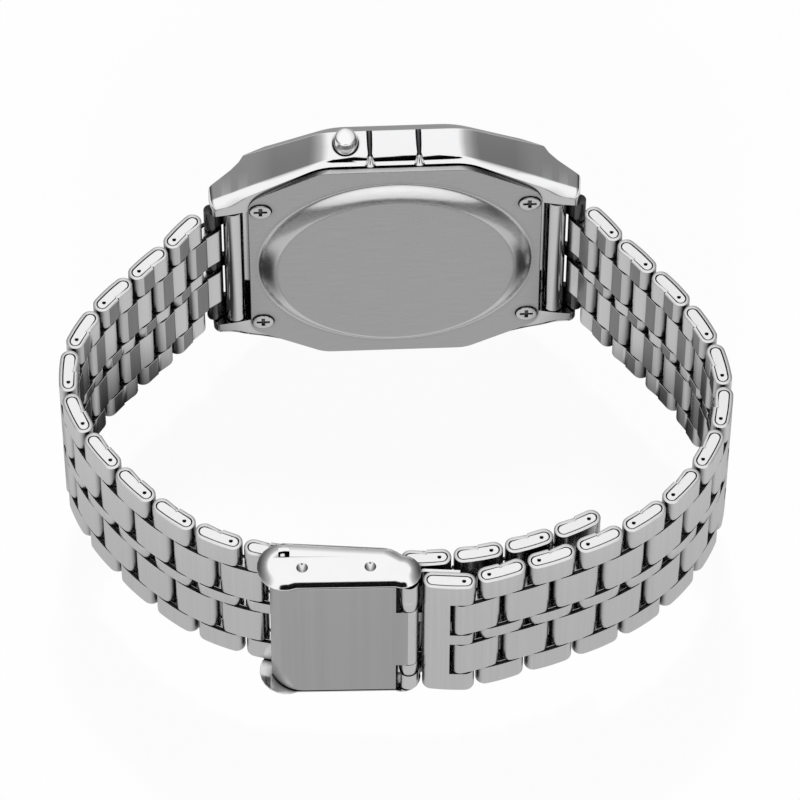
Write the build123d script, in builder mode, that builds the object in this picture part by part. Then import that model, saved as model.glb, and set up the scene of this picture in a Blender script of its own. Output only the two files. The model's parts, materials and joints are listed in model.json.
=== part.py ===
"""A digital wrist watch lying on its side, its folded-link bracelet closed by a sliding clasp.

Millimetres. +X runs towards 12 o'clock, +Y is the way the dial faces, and +Z runs towards
3 o'clock, which is up while the watch lies on its 9 o'clock side. The origin is the middle of
the round boss of the back cover, on its outer face.
"""
from build123d import *
from math import atan2, cos, degrees, hypot, radians, sin
import os

os.makedirs("parts", exist_ok=True)

# Running fits and overruns
overrun = 1.0
running_clearance = 0.05
side_clearance = 0.15
lay_clearance = 0.1

# Bracelet rows, from the middle of its width outwards
centre_row_width = 1.6
inner_row_width = 5.0
edge_row_width = 2.9
inner_row_start = centre_row_width / 2 + side_clearance
edge_row_start = inner_row_start + inner_row_width + side_clearance
half_width = edge_row_start + edge_row_width

# One folded link tube and its pins
pin_spacing = 2.4
end_gap = 0.2
tube_length = 2 * pin_spacing - end_gap
tube_thickness = 1.75
crown_height = 0.12
seam_depth = 0.06
pin_radius = 0.3
pin_inset = 0.2
slot_height = 2 * (pin_radius + running_clearance)
slot_length = pin_spacing + slot_height

# Flat sides of what is drawn many-sided: round ends, pins, small bores, and small heads and barrels
round_end_steps = 3
pin_sides = 6
bore_sides = 12
barrel_sides = 16
hollow_sides = 24

# Lie of the closed bracelet: the turn from each long link to the next, in degrees
left_swing = 182.0
left_first_turn = 38.0
left_second_turn = 8.5
left_turns = (-4, 2, 14, 26, 25, 13, 7, 9, 14, 12, 7, 3, 4, 8, 8, 8, 0)
right_swing = -6.0
right_first_turn = -49.0
right_second_turn = 1.0
right_turns = (3, -3, -10, -17, -20, -18, -14, -14, -11, -6, -2, 0)

# Spring bars, which carry the bracelet between the lugs
spring_bar_reach = 15.3
spring_bar_height = 1.7
spring_bar_radius = 0.4
spring_bar_tip_radius = 0.25
spring_bar_tip = 0.7
barrel_radius = 0.95
end_link_reach = barrel_radius + (tube_length - pin_spacing) / 2 + lay_clearance

# Clasp pin, measured from the middle long link that the clasp holds, and the clasp's tilt on it
clasp_link = 12
clasp_pin_ahead = 8.2
clasp_pin_outward = 2.0
clasp_tilt = 5.4
clasp_pin_radius = 0.5
hook_reach = 5.0
hook_outward = 0.15


def step(point, heading, distance):
    """The point that lies a distance away along a heading in degrees."""
    angle = radians(heading)
    return (point[0] + distance * cos(angle), point[1] + distance * sin(angle))


def lay_out(bar, swing, first_turn, second_turn, turns, extra_turn):
    """The pins and headings of one half of the bracelet, from its spring bar outwards.

    Pins lie one pin spacing apart. Short and long links take turns between them, and each turn
    from one long link to the next is shared by the two pins between. Returns the pins, the
    headings of the short links, those of the long links, and the heading after the last pin.
    """
    pins = [step(bar, swing, end_link_reach)]
    short_headings = []
    long_headings = []
    heading = swing + first_turn
    half_turn = second_turn
    for turn in turns:
        short_headings.append(heading)
        pins.append(step(pins[-1], heading, pin_spacing))
        heading += half_turn
        long_headings.append(heading)
        pins.append(step(pins[-1], heading, pin_spacing))
        half_turn = (turn + extra_turn) / 2
        heading += half_turn
    return pins, short_headings, long_headings, heading


left_bar = (-spring_bar_reach, spring_bar_height)
right_bar = (spring_bar_reach, spring_bar_height)
left_pins, left_short, left_long, left_end = lay_out(
    left_bar, left_swing, left_first_turn, left_second_turn, left_turns, 0
)

# The clasp's frame: its origin is the clasp pin, X runs along the clasp, Y towards the wrist
held_heading = left_long[clasp_link - 1]
held_centre = step(left_pins[2 * clasp_link - 1], held_heading, pin_spacing / 2)
clasp_pin = step(
    step(held_centre, held_heading, clasp_pin_ahead), held_heading - 90, clasp_pin_outward
)
clasp_heading = held_heading + clasp_tilt


def hook_miss(extra_turn):
    """How far the end link's last pin lies from where the clasp pin would need it."""
    pins, short_headings, long_headings, heading = lay_out(
        right_bar, right_swing, right_first_turn, right_second_turn, right_turns, extra_turn
    )
    last_pin = step(pins[-1], heading, pin_spacing)
    miss = hypot(last_pin[0] - clasp_pin[0], last_pin[1] - clasp_pin[1])
    return miss - hypot(hook_reach, hook_outward)


# The bracelet closes where every right-hand turn has this much more or less than listed
closing_turn = 0.0
closing_try = 0.5
closing_rounds = 12
for closing_round in range(closing_rounds):
    slope = (hook_miss(closing_turn + closing_try) - hook_miss(closing_turn)) / closing_try
    closing_turn -= hook_miss(closing_turn) / slope
right_pins, right_short, right_long, right_end = lay_out(
    right_bar, right_swing, right_first_turn, right_second_turn, right_turns, closing_turn
)
right_pins.append(step(right_pins[-1], right_end, pin_spacing))
hook_line = degrees(
    atan2(clasp_pin[1] - right_pins[-1][1], clasp_pin[0] - right_pins[-1][0])
)
hook_heading = hook_line - degrees(atan2(hook_outward, hook_reach))
print("closing turn per link", round(closing_turn, 3), "degrees")
print("clasp pin", [round(value, 3) for value in clasp_pin], "heading", round(clasp_heading, 2))


def frame_at(point, heading):
    """A plane square to the wrist axis, X along a heading and Y to the left of it."""
    angle = radians(heading)
    return Plane(
        origin=(point[0], point[1], 0), x_dir=(cos(angle), sin(angle), 0), z_dir=(0, 0, 1)
    )


def level(height):
    """A plane facing the wrist at a height towards the dial: local X is +X, local Y is +Z."""
    return Plane.XZ.offset(-height)


# The rows of the bracelet as spans along the wrist axis, long links first
long_rows = (
    (-half_width, -edge_row_start),
    (-centre_row_width / 2, centre_row_width / 2),
    (edge_row_start, half_width),
)
short_rows = (
    (-inner_row_start - inner_row_width, -inner_row_start),
    (inner_row_start, inner_row_start + inner_row_width),
)


def end_arc(centre_x, radius, start_angle, steps):
    """Points of a half circle about a centre on the X axis, in equal steps."""
    angles = [radians(start_angle + 180 * index / steps) for index in range(steps + 1)]
    return [(centre_x + radius * cos(angle), radius * sin(angle)) for angle in angles]


def tube_outline():
    """The folded tube's section: round ends, a crowned outer face and a seamed inner one."""
    radius = tube_thickness / 2
    reach = tube_length / 2 - radius
    crown = [(0, -radius - crown_height)]
    seam = [(0, radius - seam_depth)]
    return (
        end_arc(reach, radius, -90, round_end_steps)
        + seam
        + end_arc(-reach, radius, 90, round_end_steps)
        + crown
    )


def tube_section(plane):
    """One link tube's section on a plane, with the slot that its pins lie in."""
    with BuildSketch(plane) as section:
        Polygon(*tube_outline(), align=None)
        Rectangle(slot_length, slot_height, mode=Mode.SUBTRACT)
    return section.sketch


def slot_outline(centre_x, length, thickness):
    """The section of a folded end: two round ends about a centre on the X axis."""
    radius = thickness / 2
    reach = length / 2 - radius
    return end_arc(centre_x + reach, radius, -90, round_end_steps) + end_arc(
        centre_x - reach, radius, 90, round_end_steps
    )


def disc_at(plane, point, radius, sides):
    """A many-sided disc at a point of a plane."""
    with BuildSketch(plane) as disc:
        with Locations(point):
            RegularPolygon(radius, sides)
    return disc.sketch


def ring_at(plane, point, outer, inner, sides):
    """A many-sided ring at a point of a plane."""
    with BuildSketch(plane) as ring:
        with Locations(point):
            RegularPolygon(outer, sides)
            RegularPolygon(inner, sides, mode=Mode.SUBTRACT)
    return ring.sketch


def inward_frame(start, heading, half):
    """A frame at a point of one half of the bracelet, Y towards the wrist."""
    return frame_at(start, heading if half == "left" else heading + 180)


# Bracelet sections: two short links, the three long links after them, and the long links' pins
pin_length = 2 * (half_width - pin_inset)
for half, pins, short_headings, long_headings in (
    ("L", left_pins, left_short, left_long),
    ("R", right_pins, right_short, right_long),
):
    side = "left" if half == "L" else "right"
    for number in range(1, len(long_headings) + 1):
        near_pin = pins[2 * number - 1]
        short_middle = step(pins[2 * number - 2], short_headings[number - 1], pin_spacing / 2)
        long_middle = step(near_pin, long_headings[number - 1], pin_spacing / 2)
        short_frame = inward_frame(short_middle, short_headings[number - 1], side)
        long_frame = inward_frame(long_middle, long_headings[number - 1], side)
        with BuildPart() as section:
            for low, high in short_rows:
                extrude(tube_section(short_frame.offset(low)), amount=high - low)
            for low, high in long_rows:
                extrude(tube_section(long_frame.offset(low)), amount=high - low)
            for along in (-pin_spacing / 2, pin_spacing / 2):
                pin_end = long_frame.offset(-pin_length / 2)
                extrude(disc_at(pin_end, (along, 0), pin_radius, pin_sides), amount=pin_length)
        section.part.label = f"link_{half}{number:02d}"
        export_step(section.part, f"parts/{section.part.label}.step")

# End links: a barrel on the spring bar, with three fingers round the first pin
spring_bar_length = 2 * (half_width + side_clearance)
barrel_length = 2 * (half_width - lay_clearance)
finger_radius = tube_thickness / 2
for clock, bar, swing, side, first_pin in (
    ("12", right_bar, right_swing, "right", right_pins[0]),
    ("6", left_bar, left_swing, "left", left_pins[0]),
):
    frame = inward_frame(bar, swing, side)
    reach = end_link_reach if side == "left" else -end_link_reach
    finger_tip = reach + (tube_length - pin_spacing) / 2 * reach / end_link_reach
    tip_centre = finger_tip - finger_radius * reach / end_link_reach
    with BuildPart() as end_link:
        barrel_end = frame.offset(-barrel_length / 2)
        extrude(disc_at(barrel_end, (0, 0), barrel_radius, barrel_sides), amount=barrel_length)
        for low, high in long_rows:
            low = max(low, -barrel_length / 2)
            high = min(high, barrel_length / 2)
            with BuildSketch(frame.offset(low)):
                with Locations((tip_centre, 0)):
                    RegularPolygon(finger_radius, bore_sides)
                with Locations((tip_centre / 2, 0)):
                    Rectangle(abs(tip_centre), tube_thickness)
            extrude(amount=high - low)
        for place, radius, sides in (
            ((0, 0), spring_bar_radius, bore_sides),
            ((reach, 0), pin_radius, pin_sides),
        ):
            bore = disc_at(frame.offset(-barrel_length), place, radius + running_clearance, sides)
            extrude(bore, amount=2 * barrel_length, mode=Mode.SUBTRACT)
        pin_end = frame.offset(-pin_length / 2)
        extrude(disc_at(pin_end, (reach, 0), pin_radius, pin_sides), amount=pin_length)
    end_link.part.label = f"end_link_{clock}"
    export_step(end_link.part, f"parts/{end_link.part.label}.step")

# Spring bars: a tube with a thinner spring-loaded tip at each end
spring_bar_tips = spring_bar_length + 2 * spring_bar_tip
with BuildPart() as spring_bars:
    for bar in (right_bar, left_bar):
        for radius, length in (
            (spring_bar_radius, spring_bar_length),
            (spring_bar_tip_radius, spring_bar_tips),
        ):
            bar_end = Plane.XY.offset(-length / 2)
            extrude(disc_at(bar_end, bar, radius, bore_sides), amount=length)
spring_bars.part.label = "spring_bars"
export_step(spring_bars.part, "parts/spring_bars.step")

# Clasp sizes, in the clasp's frame
plate_thickness = 0.5
plate_start = half_width + side_clearance
plate_outer_edge = -0.85
plate_left = 13.8
plate_left_height = 1.9
plate_inner_left = (-11.4, 4.0)
plate_inner_right = (-1.8, 3.3)
plate_step = (-0.5, 2.5)
plate_lobe = (1.1, 1.2)
plate_outer_right = -1.3
plate_outer_left = -10.3
sheet = 0.4
barrel_outer = 0.9
clasp_bore = clasp_pin_radius + running_clearance
deck_outer = 0.7
deck_left = 11.6
deck_right = 0.8
cover_face = plate_outer_edge
cover_right = 1.2
cover_flange_left = 10.2
cover_flange_right = 1.6
cover_curl_radius = 3.2
cover_curl_angle = 70.0
tongue_half = 4.65
knuckle_half = 6.5
hook_half = half_width - lay_clearance
dimple_radius = 0.45
dimple_depth = 0.2
dimple_places = ((-9.7, 1.1), (-3.5, 1.1))
lock_hole = 0.95
lock_bar = 0.6

clasp = frame_at(clasp_pin, clasp_heading)
held_near_pin = clasp.to_local_coords(
    Vector(left_pins[2 * clasp_link - 2][0], left_pins[2 * clasp_link - 2][1], 0)
)

# Clasp body: a deck under the cover, two side plates bent in from it, and two knuckles
with BuildPart() as clasp_body:
    for side in (-1, 1):
        inner_face = side * plate_start if side > 0 else side * (plate_start + plate_thickness)
        with BuildSketch(clasp.offset(inner_face)):
            with BuildLine():
                Polyline(plate_inner_left, plate_inner_right, plate_step)
                ThreePointArc(plate_step, plate_lobe, (plate_outer_right, plate_outer_edge))
                Line((plate_outer_right, plate_outer_edge), (plate_outer_left, plate_outer_edge))
                ThreePointArc(
                    (plate_outer_left, plate_outer_edge),
                    (-plate_left, plate_left_height),
                    plate_inner_left,
                )
            make_face()
            with Locations((held_near_pin.X, held_near_pin.Y)):
                Rectangle(lock_hole, lock_hole, mode=Mode.SUBTRACT)
        extrude(amount=plate_thickness)
    for side in (-1, 1):
        outer_face = side * (plate_start + plate_thickness)
        floor = min(outer_face, outer_face - side * dimple_depth)
        with BuildSketch(clasp.offset(floor)):
            with Locations(*dimple_places):
                RegularPolygon(dimple_radius, bore_sides)
        extrude(amount=dimple_depth, mode=Mode.SUBTRACT)
    deck_length = deck_left - deck_right
    with BuildSketch(clasp.offset(-plate_start)):
        with Locations((-deck_right - deck_length / 2, deck_outer + sheet / 2)):
            Rectangle(deck_length, sheet)
    extrude(amount=2 * plate_start)
    for side in (-1, 1):
        low = min(side * knuckle_half, side * (tongue_half + lay_clearance))
        width = knuckle_half - tongue_half - lay_clearance
        with BuildSketch(clasp.offset(low)):
            RegularPolygon(barrel_outer, barrel_sides)
            with Locations((-barrel_outer / 2 - sheet / 2, deck_outer / 2 + sheet / 2)):
                Rectangle(barrel_outer + sheet, deck_outer + sheet)
            RegularPolygon(clasp_bore, bore_sides, mode=Mode.SUBTRACT)
        extrude(amount=width)
clasp_body.part.label = "clasp_body"
export_step(clasp_body.part, "parts/clasp_body.step")

# Clasp pin, through the knuckles, the cover's tongue and the hook
with BuildPart() as clasp_pin_part:
    with BuildSketch(clasp.offset(-hook_half)):
        Circle(clasp_pin_radius)
    extrude(amount=2 * hook_half)
clasp_pin_part.part.label = "clasp_pin"
export_step(clasp_pin_part.part, "parts/clasp_pin.step")

# Lock pins: the two ends of the bar that ties the clasp to a link's pin hole
with BuildPart() as lock_pins:
    for side in (-1, 1):
        low = min(side * (half_width - pin_inset), side * (plate_start + plate_thickness))
        width = plate_start + plate_thickness - half_width + pin_inset
        with BuildSketch(clasp.offset(low)):
            with Locations((held_near_pin.X, held_near_pin.Y)):
                Rectangle(lock_bar, lock_bar)
        extrude(amount=width)
lock_pins.part.label = "lock_pins"
export_step(lock_pins.part, "parts/lock_pins.step")

# Clasp cover: a brushed plate with side flanges, a curled free end and a tongue on the pin
cover_half = half_width + side_clearance / 2
with BuildPart() as clasp_cover:
    curl_start = (-plate_left + cover_curl_radius, cover_face)
    curl = radians(cover_curl_angle)
    inner_radius = cover_curl_radius - sheet
    centre = (curl_start[0], cover_face + cover_curl_radius)
    curl_end = (centre[0] - cover_curl_radius * sin(curl), centre[1] - cover_curl_radius * cos(curl))
    curl_end_in = (centre[0] - inner_radius * sin(curl), centre[1] - inner_radius * cos(curl))
    curl_mid = (
        centre[0] - cover_curl_radius * sin(curl / 2),
        centre[1] - cover_curl_radius * cos(curl / 2),
    )
    curl_mid_in = (
        centre[0] - inner_radius * sin(curl / 2),
        centre[1] - inner_radius * cos(curl / 2),
    )
    with BuildSketch(clasp.offset(-cover_half)):
        with BuildLine():
            Polyline(
                (curl_start[0], cover_face + sheet),
                (-cover_right, cover_face + sheet),
                (-cover_right, cover_face),
                curl_start,
            )
            ThreePointArc(curl_start, curl_mid, curl_end)
            Line(curl_end, curl_end_in)
            ThreePointArc(curl_end_in, curl_mid_in, (curl_start[0], cover_face + sheet))
        make_face()
    extrude(amount=2 * cover_half)
    flange_length = cover_flange_left - cover_flange_right
    flange_height = deck_outer - lay_clearance - cover_face
    for low in (-cover_half, cover_half - sheet):
        with BuildSketch(clasp.offset(low)):
            with Locations(
                (-cover_flange_right - flange_length / 2, cover_face + flange_height / 2)
            ):
                Rectangle(flange_length, flange_height)
        extrude(amount=sheet)
    with BuildSketch(clasp.offset(-tongue_half)):
        RegularPolygon(barrel_outer, barrel_sides)
        with Locations((-cover_right / 2, cover_face + sheet / 2)):
            Rectangle(cover_right + sheet, sheet)
        Circle(clasp_bore, mode=Mode.SUBTRACT)
    extrude(amount=2 * tongue_half)
clasp_cover.part.label = "clasp_cover"
export_step(clasp_cover.part, "parts/clasp_cover.step")

# Last short links of the right half, on the end link's pin
with BuildPart() as last_links:
    short_middle = step(right_pins[-2], right_end, pin_spacing / 2)
    short_frame = inward_frame(short_middle, right_end, "right")
    for low, high in short_rows:
        extrude(tube_section(short_frame.offset(low)), amount=high - low)
    last_frame = inward_frame(right_pins[-1], hook_heading, "right")
    pin_end = last_frame.offset(-pin_length / 2)
    extrude(disc_at(pin_end, (0, 0), pin_radius, pin_sides), amount=pin_length)
last_links.part.label = "link_R13"
export_step(last_links.part, "parts/link_R13.step")

# End link at the clasp: one folded tube across the whole width, notched for the last links
end_link_near = (tube_length - pin_spacing) / 2
end_link_far = hook_reach - barrel_outer - lay_clearance - plate_thickness / 2
end_link_length = end_link_near + end_link_far
end_slot_length = end_link_far - (tube_thickness - slot_height) / 2
notch_depth = end_link_near + lay_clearance
with BuildPart() as clasp_end_link:
    end_link_middle = end_link_near - end_link_length / 2
    end_link_skin = slot_outline(end_link_middle, end_link_length, tube_thickness)
    end_link_slot = slot_outline(-end_slot_length / 2, end_slot_length, slot_height)
    with BuildSketch(last_frame.offset(-half_width)):
        Polygon(*end_link_skin, align=None)
        Polygon(*end_link_slot, align=None, mode=Mode.SUBTRACT)
        RegularPolygon(pin_radius + running_clearance, pin_sides, mode=Mode.SUBTRACT)
    extrude(amount=2 * half_width)
    for low, high in short_rows:
        with BuildSketch(last_frame.offset(low - side_clearance)):
            with Locations((end_link_near, 0)):
                Rectangle(2 * notch_depth + 2 * end_link_near, tube_thickness + overrun)
        extrude(amount=high - low + 2 * side_clearance, mode=Mode.SUBTRACT)
clasp_end_link.part.label = "clasp_end_link"
export_step(clasp_end_link.part, "parts/clasp_end_link.step")

# Clasp hook: a plate under the end link whose two arms curl round the clasp pin from outside
hook_plate = 0.3
hook_inner = 0.65
hook_open_from = 40.0
hook_open_to = 225.0
hook_plate_right = 0.4
hook_plate_left = 3.8
knuckle_gap = knuckle_half + lay_clearance
hook_centre = (-hook_reach, -hook_outward)
hook_outer = hook_inner + hook_plate
hook_middle = (hook_open_from + hook_open_to) / 2
arm_inner = step(hook_centre, hook_open_from, hook_inner)
arm_outer = step(hook_centre, hook_open_from, hook_outer)
plate_inner_face = tube_thickness / 2 + hook_plate
with BuildPart() as clasp_hook:
    with BuildSketch(last_frame.offset(-hook_half)):
        with BuildLine():
            Polyline(
                (-hook_plate_right, tube_thickness / 2),
                (-hook_plate_right, plate_inner_face),
                (-hook_plate_left, plate_inner_face),
                (-hook_plate_left, tube_thickness / 2),
                close=True,
            )
        make_face()
    extrude(amount=2 * hook_half)
    for low in (-hook_half, knuckle_gap):
        with BuildSketch(last_frame.offset(low)):
            with Locations(hook_centre):
                Circle(hook_outer)
                Circle(hook_inner, mode=Mode.SUBTRACT)
            with BuildLine(mode=Mode.PRIVATE) as opening:
                Polyline(
                    hook_centre,
                    step(hook_centre, hook_open_from, 2 * hook_outer),
                    step(hook_centre, hook_middle, 4 * hook_outer),
                    step(hook_centre, hook_open_to, 2 * hook_outer),
                    close=True,
                )
            make_face(opening.edges(), mode=Mode.SUBTRACT)
            with BuildLine():
                Polyline(
                    arm_inner,
                    arm_outer,
                    (-hook_plate_left, tube_thickness / 2),
                    (-hook_plate_left, plate_inner_face),
                    close=True,
                )
            make_face()
        extrude(amount=hook_half - knuckle_gap)
clasp_hook.part.label = "clasp_hook"
export_step(clasp_hook.part, "parts/clasp_hook.step")

# Case: heights of its levels towards the dial, and the corners of its outline at each
case_base = 1.2
case_widest = 5.0
case_shoulder = 7.6
case_base_start = (6.9, 15.2)
case_base_reaches = (13.4, 17.1)
case_widest_start = (6.6, 16.4)
case_widest_reaches = (12.9, 17.7)
case_front_start = (5.8, 13.3)
case_front_reaches = (11.4, 13.6)
case_fall_shares = (0.444, 0.417)
lug_slope_start = (12.0, 7.6)
lug_slope_middle = (14.6, 4.3)
lug_slope_end = (18.2, 2.3)
lug_bottom = 0.5
lug_inner_reach = spring_bar_reach - barrel_radius
recess_roof = 3.4
cavity_roof = 6.4
cavity_corners = ((8.6, 12.1), (12.9, 7.6))
module_corners = ((8.2, 11.0), (12.6, 7.0))
crystal_corners = ((7.6, 10.2), (11.0, 7.2))
crystal_seat = 7.0
crystal_thickness = 1.0
window_corners = ((6.6, 9.0), (9.8, 6.2))
cover_corners = ((6.87, 14.95), (13.87, 9.78))
cover_thickness = 0.5
cover_boss_radius = 13.0
cover_back = 1.0
cover_front = cover_back + cover_thickness
cover_boss_bevel = 1.1
screw_spacing_x = 25.4
screw_spacing_z = 18.56
screw_head_radius = 1.0
screw_head_height = 0.45
cross_length = 1.3
cross_width = 0.28
screw_radius = 0.5
screw_length = 2.6
screw_recess = 0.25
pad_half = 2.1
pad_height = 0.1
pad_base = 2.3
pad_top = 4.9
button_x = 4.55
button_height = 3.7
button_radius = 1.15
button_proud = 0.8
button_reach = case_widest_start[1] + button_proud
button_head = 1.9
button_travel = 0.5
stem_radius = 0.5
button_spring_room = 1.4
button_bore_floor = button_reach - button_head - button_spring_room
seal_depth = 0.6
seal_outer = 0.95
retainer_radius = 0.85
retainer_thickness = 0.3
button_places = (
    ("adjust", -button_x, 1),
    ("light", button_x, -1),
    ("mode", -button_x, -1),
)


def case_corners(start, reaches):
    """The corners of one level: each side falls by the same share of its length at every level."""
    corners = [start]
    for reach, fall_share in zip(reaches, case_fall_shares):
        x, z = corners[-1]
        corners.append((reach, z - fall_share * (reach - x)))
    return corners


def mirrored_outline(corners):
    """A closed outline from its corners in the first quarter, mirrored about both axes."""
    quarter = list(corners)
    right = quarter + [(x, -z) for x, z in reversed(quarter)]
    return right + [(-x, -z) for x, z in quarter] + [(-x, z) for x, z in reversed(quarter)]


def grown(corners, margin):
    """The corners of a first quarter moved out, or in where the margin is negative."""
    return [(x + margin, z + margin) for x, z in corners]


def outline_at(height, corners):
    """A mirrored outline as a face at a height towards the dial."""
    with BuildSketch(level(height)) as face:
        Polygon(*mirrored_outline(corners), align=None)
    return face.sketch


# Case body: two lofts, sloped to the lugs, cut for the bracelet, the module, glass and buttons
case_base_corners = case_corners(case_base_start, case_base_reaches)
case_widest_corners = case_corners(case_widest_start, case_widest_reaches)
case_front_corners = case_corners(case_front_start, case_front_reaches)
with BuildPart() as case_body:
    widest_face = outline_at(case_widest, case_widest_corners)
    loft(Sketch() + [outline_at(case_base, case_base_corners), widest_face], ruled=True)
    loft(Sketch() + [widest_face, outline_at(case_shoulder, case_front_corners)], ruled=True)
    slope_top = case_shoulder + overrun
    case_reach = case_widest_corners[-1][0]
    case_side = case_widest_corners[0][1]
    for end in (-1, 1):
        with BuildSketch(Plane.XY.offset(-case_side - overrun)):
            with BuildLine():
                Polyline(
                    (end * lug_slope_start[0], lug_slope_start[1]),
                    (end * lug_slope_middle[0], lug_slope_middle[1]),
                    (end * lug_slope_end[0], lug_slope_end[1]),
                    (end * (lug_slope_end[0] + overrun), slope_top),
                    (end * lug_slope_start[0], slope_top),
                    close=True,
                )
            make_face()
        extrude(amount=2 * (case_side + overrun), mode=Mode.SUBTRACT)
    for side in (-1, 1):
        pad_low = min(side * (case_side - overrun), side * (case_side + pad_height))
        with BuildSketch(Plane.XY.offset(pad_low)):
            with Locations((0, (pad_base + pad_top) / 2)):
                Rectangle(2 * pad_half, pad_top - pad_base)
        extrude(amount=overrun + pad_height)
    for end in (-1, 1):
        for side in (-1, 1):
            lug_low = min(side * plate_start, side * case_base_corners[-1][1])
            with BuildSketch(Plane.XY.offset(lug_low)):
                with BuildLine():
                    Polyline(
                        (end * lug_inner_reach, recess_roof),
                        (end * lug_inner_reach, lug_bottom),
                        (end * (spring_bar_reach + barrel_radius), lug_bottom),
                        (end * case_base_corners[-1][0], spring_bar_height),
                        (end * case_base_corners[-1][0], recess_roof),
                        close=True,
                    )
                make_face()
            extrude(amount=case_base_corners[-1][1] - plate_start)
    for end in (-1, 1):
        with BuildSketch(Plane.XY.offset(-plate_start)):
            recess_length = case_reach + overrun - lug_inner_reach + barrel_radius / 2
            with Locations(
                (
                    end * (lug_inner_reach - barrel_radius / 2 + recess_length / 2),
                    (recess_roof + lug_bottom - overrun) / 2,
                )
            ):
                Rectangle(recess_length, recess_roof - lug_bottom + overrun)
        extrude(amount=2 * plate_start, mode=Mode.SUBTRACT)
        bar_hole_depth = spring_bar_length / 2 + spring_bar_tip + running_clearance
        with BuildSketch(Plane.XY.offset(-bar_hole_depth)):
            with Locations((end * spring_bar_reach, spring_bar_height)):
                RegularPolygon(spring_bar_tip_radius + running_clearance, bore_sides)
        extrude(amount=2 * bar_hole_depth, mode=Mode.SUBTRACT)
    extrude(outline_at(cavity_roof, cavity_corners), amount=cavity_roof, mode=Mode.SUBTRACT)
    extrude(
        outline_at(cover_front, grown(cover_corners, running_clearance)),
        amount=cover_thickness,
        mode=Mode.SUBTRACT,
    )
    extrude(
        outline_at(crystal_seat + overrun, window_corners),
        amount=crystal_seat + overrun - cavity_roof + running_clearance,
        mode=Mode.SUBTRACT,
    )
    extrude(
        outline_at(crystal_seat + crystal_thickness, crystal_corners),
        amount=crystal_thickness,
        mode=Mode.SUBTRACT,
    )
    with BuildSketch(level(case_base + screw_length)):
        with GridLocations(screw_spacing_x, screw_spacing_z, 2, 2):
            RegularPolygon(screw_radius, pin_sides)
    extrude(amount=screw_length + overrun, mode=Mode.SUBTRACT)
    cavity_side = cavity_corners[0][1]
    for name, x, side in button_places:
        for radius, start, end in (
            (button_radius + lay_clearance, button_bore_floor, case_side + overrun),
            (stem_radius + running_clearance, cavity_side - overrun, button_bore_floor),
            (seal_outer, cavity_side - overrun, cavity_side + seal_depth),
        ):
            low = Plane.XY.offset(min(side * start, side * end))
            bore = disc_at(low, (x, button_height), radius, bore_sides)
            extrude(bore, amount=end - start, mode=Mode.SUBTRACT)
case_body.part.label = "case_body"
export_step(case_body.part, "parts/case_body.step")

# Back cover: a pressed plate with a raised round boss, hollow inside, and four screw holes
with BuildPart() as back_cover:
    extrude(outline_at(cover_front, cover_corners), amount=cover_thickness)
    boss_top = cover_boss_radius - cover_boss_bevel
    with BuildSketch(level(cover_back)):
        Circle(cover_boss_radius)
    with BuildSketch(level(0)):
        Circle(boss_top)
    loft()
    with BuildSketch(level(cover_front)):
        RegularPolygon(cover_boss_radius - cover_thickness, hollow_sides)
    with BuildSketch(level(cover_thickness)):
        RegularPolygon(boss_top - cover_thickness, hollow_sides)
    loft(mode=Mode.SUBTRACT)
    with BuildSketch(level(cover_front)):
        with GridLocations(screw_spacing_x, screw_spacing_z, 2, 2):
            RegularPolygon(screw_radius + running_clearance, pin_sides)
    extrude(amount=cover_thickness, mode=Mode.SUBTRACT)
    with BuildSketch(level(cover_back + screw_recess)):
        with GridLocations(screw_spacing_x, screw_spacing_z, 2, 2):
            RegularPolygon(screw_head_radius + lay_clearance, barrel_sides)
    extrude(amount=screw_recess, mode=Mode.SUBTRACT)
back_cover.part.label = "back_cover"
export_step(back_cover.part, "parts/back_cover.step")

# Back screws: four cross-head screws
screw_seat = cover_back + screw_recess
with BuildPart() as back_screws:
    with BuildSketch(level(screw_seat)):
        with GridLocations(screw_spacing_x, screw_spacing_z, 2, 2):
            RegularPolygon(screw_head_radius, barrel_sides)
    extrude(amount=screw_head_height)
    with BuildSketch(level(case_base + screw_length - running_clearance)):
        with GridLocations(screw_spacing_x, screw_spacing_z, 2, 2):
            RegularPolygon(screw_radius - running_clearance, pin_sides)
    extrude(amount=case_base + screw_length - screw_seat)
    with BuildSketch(level(screw_seat - screw_head_height / 2)):
        with GridLocations(screw_spacing_x, screw_spacing_z, 2, 2):
            Rectangle(cross_length, cross_width)
            Rectangle(cross_width, cross_length)
    extrude(amount=screw_head_height, mode=Mode.SUBTRACT)
back_screws.part.label = "back_screws"
export_step(back_screws.part, "parts/back_screws.step")

# Inside the case, from the glass inwards
mask_thickness = 0.2
mask_corners = ((7.9, 11.4), (12.4, 7.0))
mask_window_x = 17.6
mask_window_z = 10.4
lcd_x = 20.4
lcd_z = 14.0
lcd_thickness = 1.0
guide_z = 10.8
guide_thickness = 0.6
frame_floor = 0.4
board_corners = ((7.9, 10.5), (12.1, 6.7))
board_thickness = 0.6
zebra_x = 18.0
zebra_z = 1.0
zebra_inset = 0.3
battery_radius = 10.0
battery_thickness = 1.6
battery_step = 0.35
clip_width = 5.0
clip_bearing = 0.6
clip_length = 2 * (battery_radius + clip_bearing)
clip_thickness = 0.15
gasket_width = 0.6
piezo_radius = 10.9
piezo_thickness = 0.25
contact_x = 10.65
contact_outer = 0.4
contact_inner = 0.25
contact_hole = 0.6

mask_front = cavity_roof
lcd_front = mask_front - mask_thickness
guide_front = lcd_front - lcd_thickness
floor_front = guide_front - guide_thickness
board_front = floor_front - frame_floor
holder_front = board_front - board_thickness
battery_front = holder_front
holder_back = battery_front - battery_thickness
zebra_middle = lcd_z / 2 - zebra_inset - zebra_z / 2
zebra_length = guide_front - board_front

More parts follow.
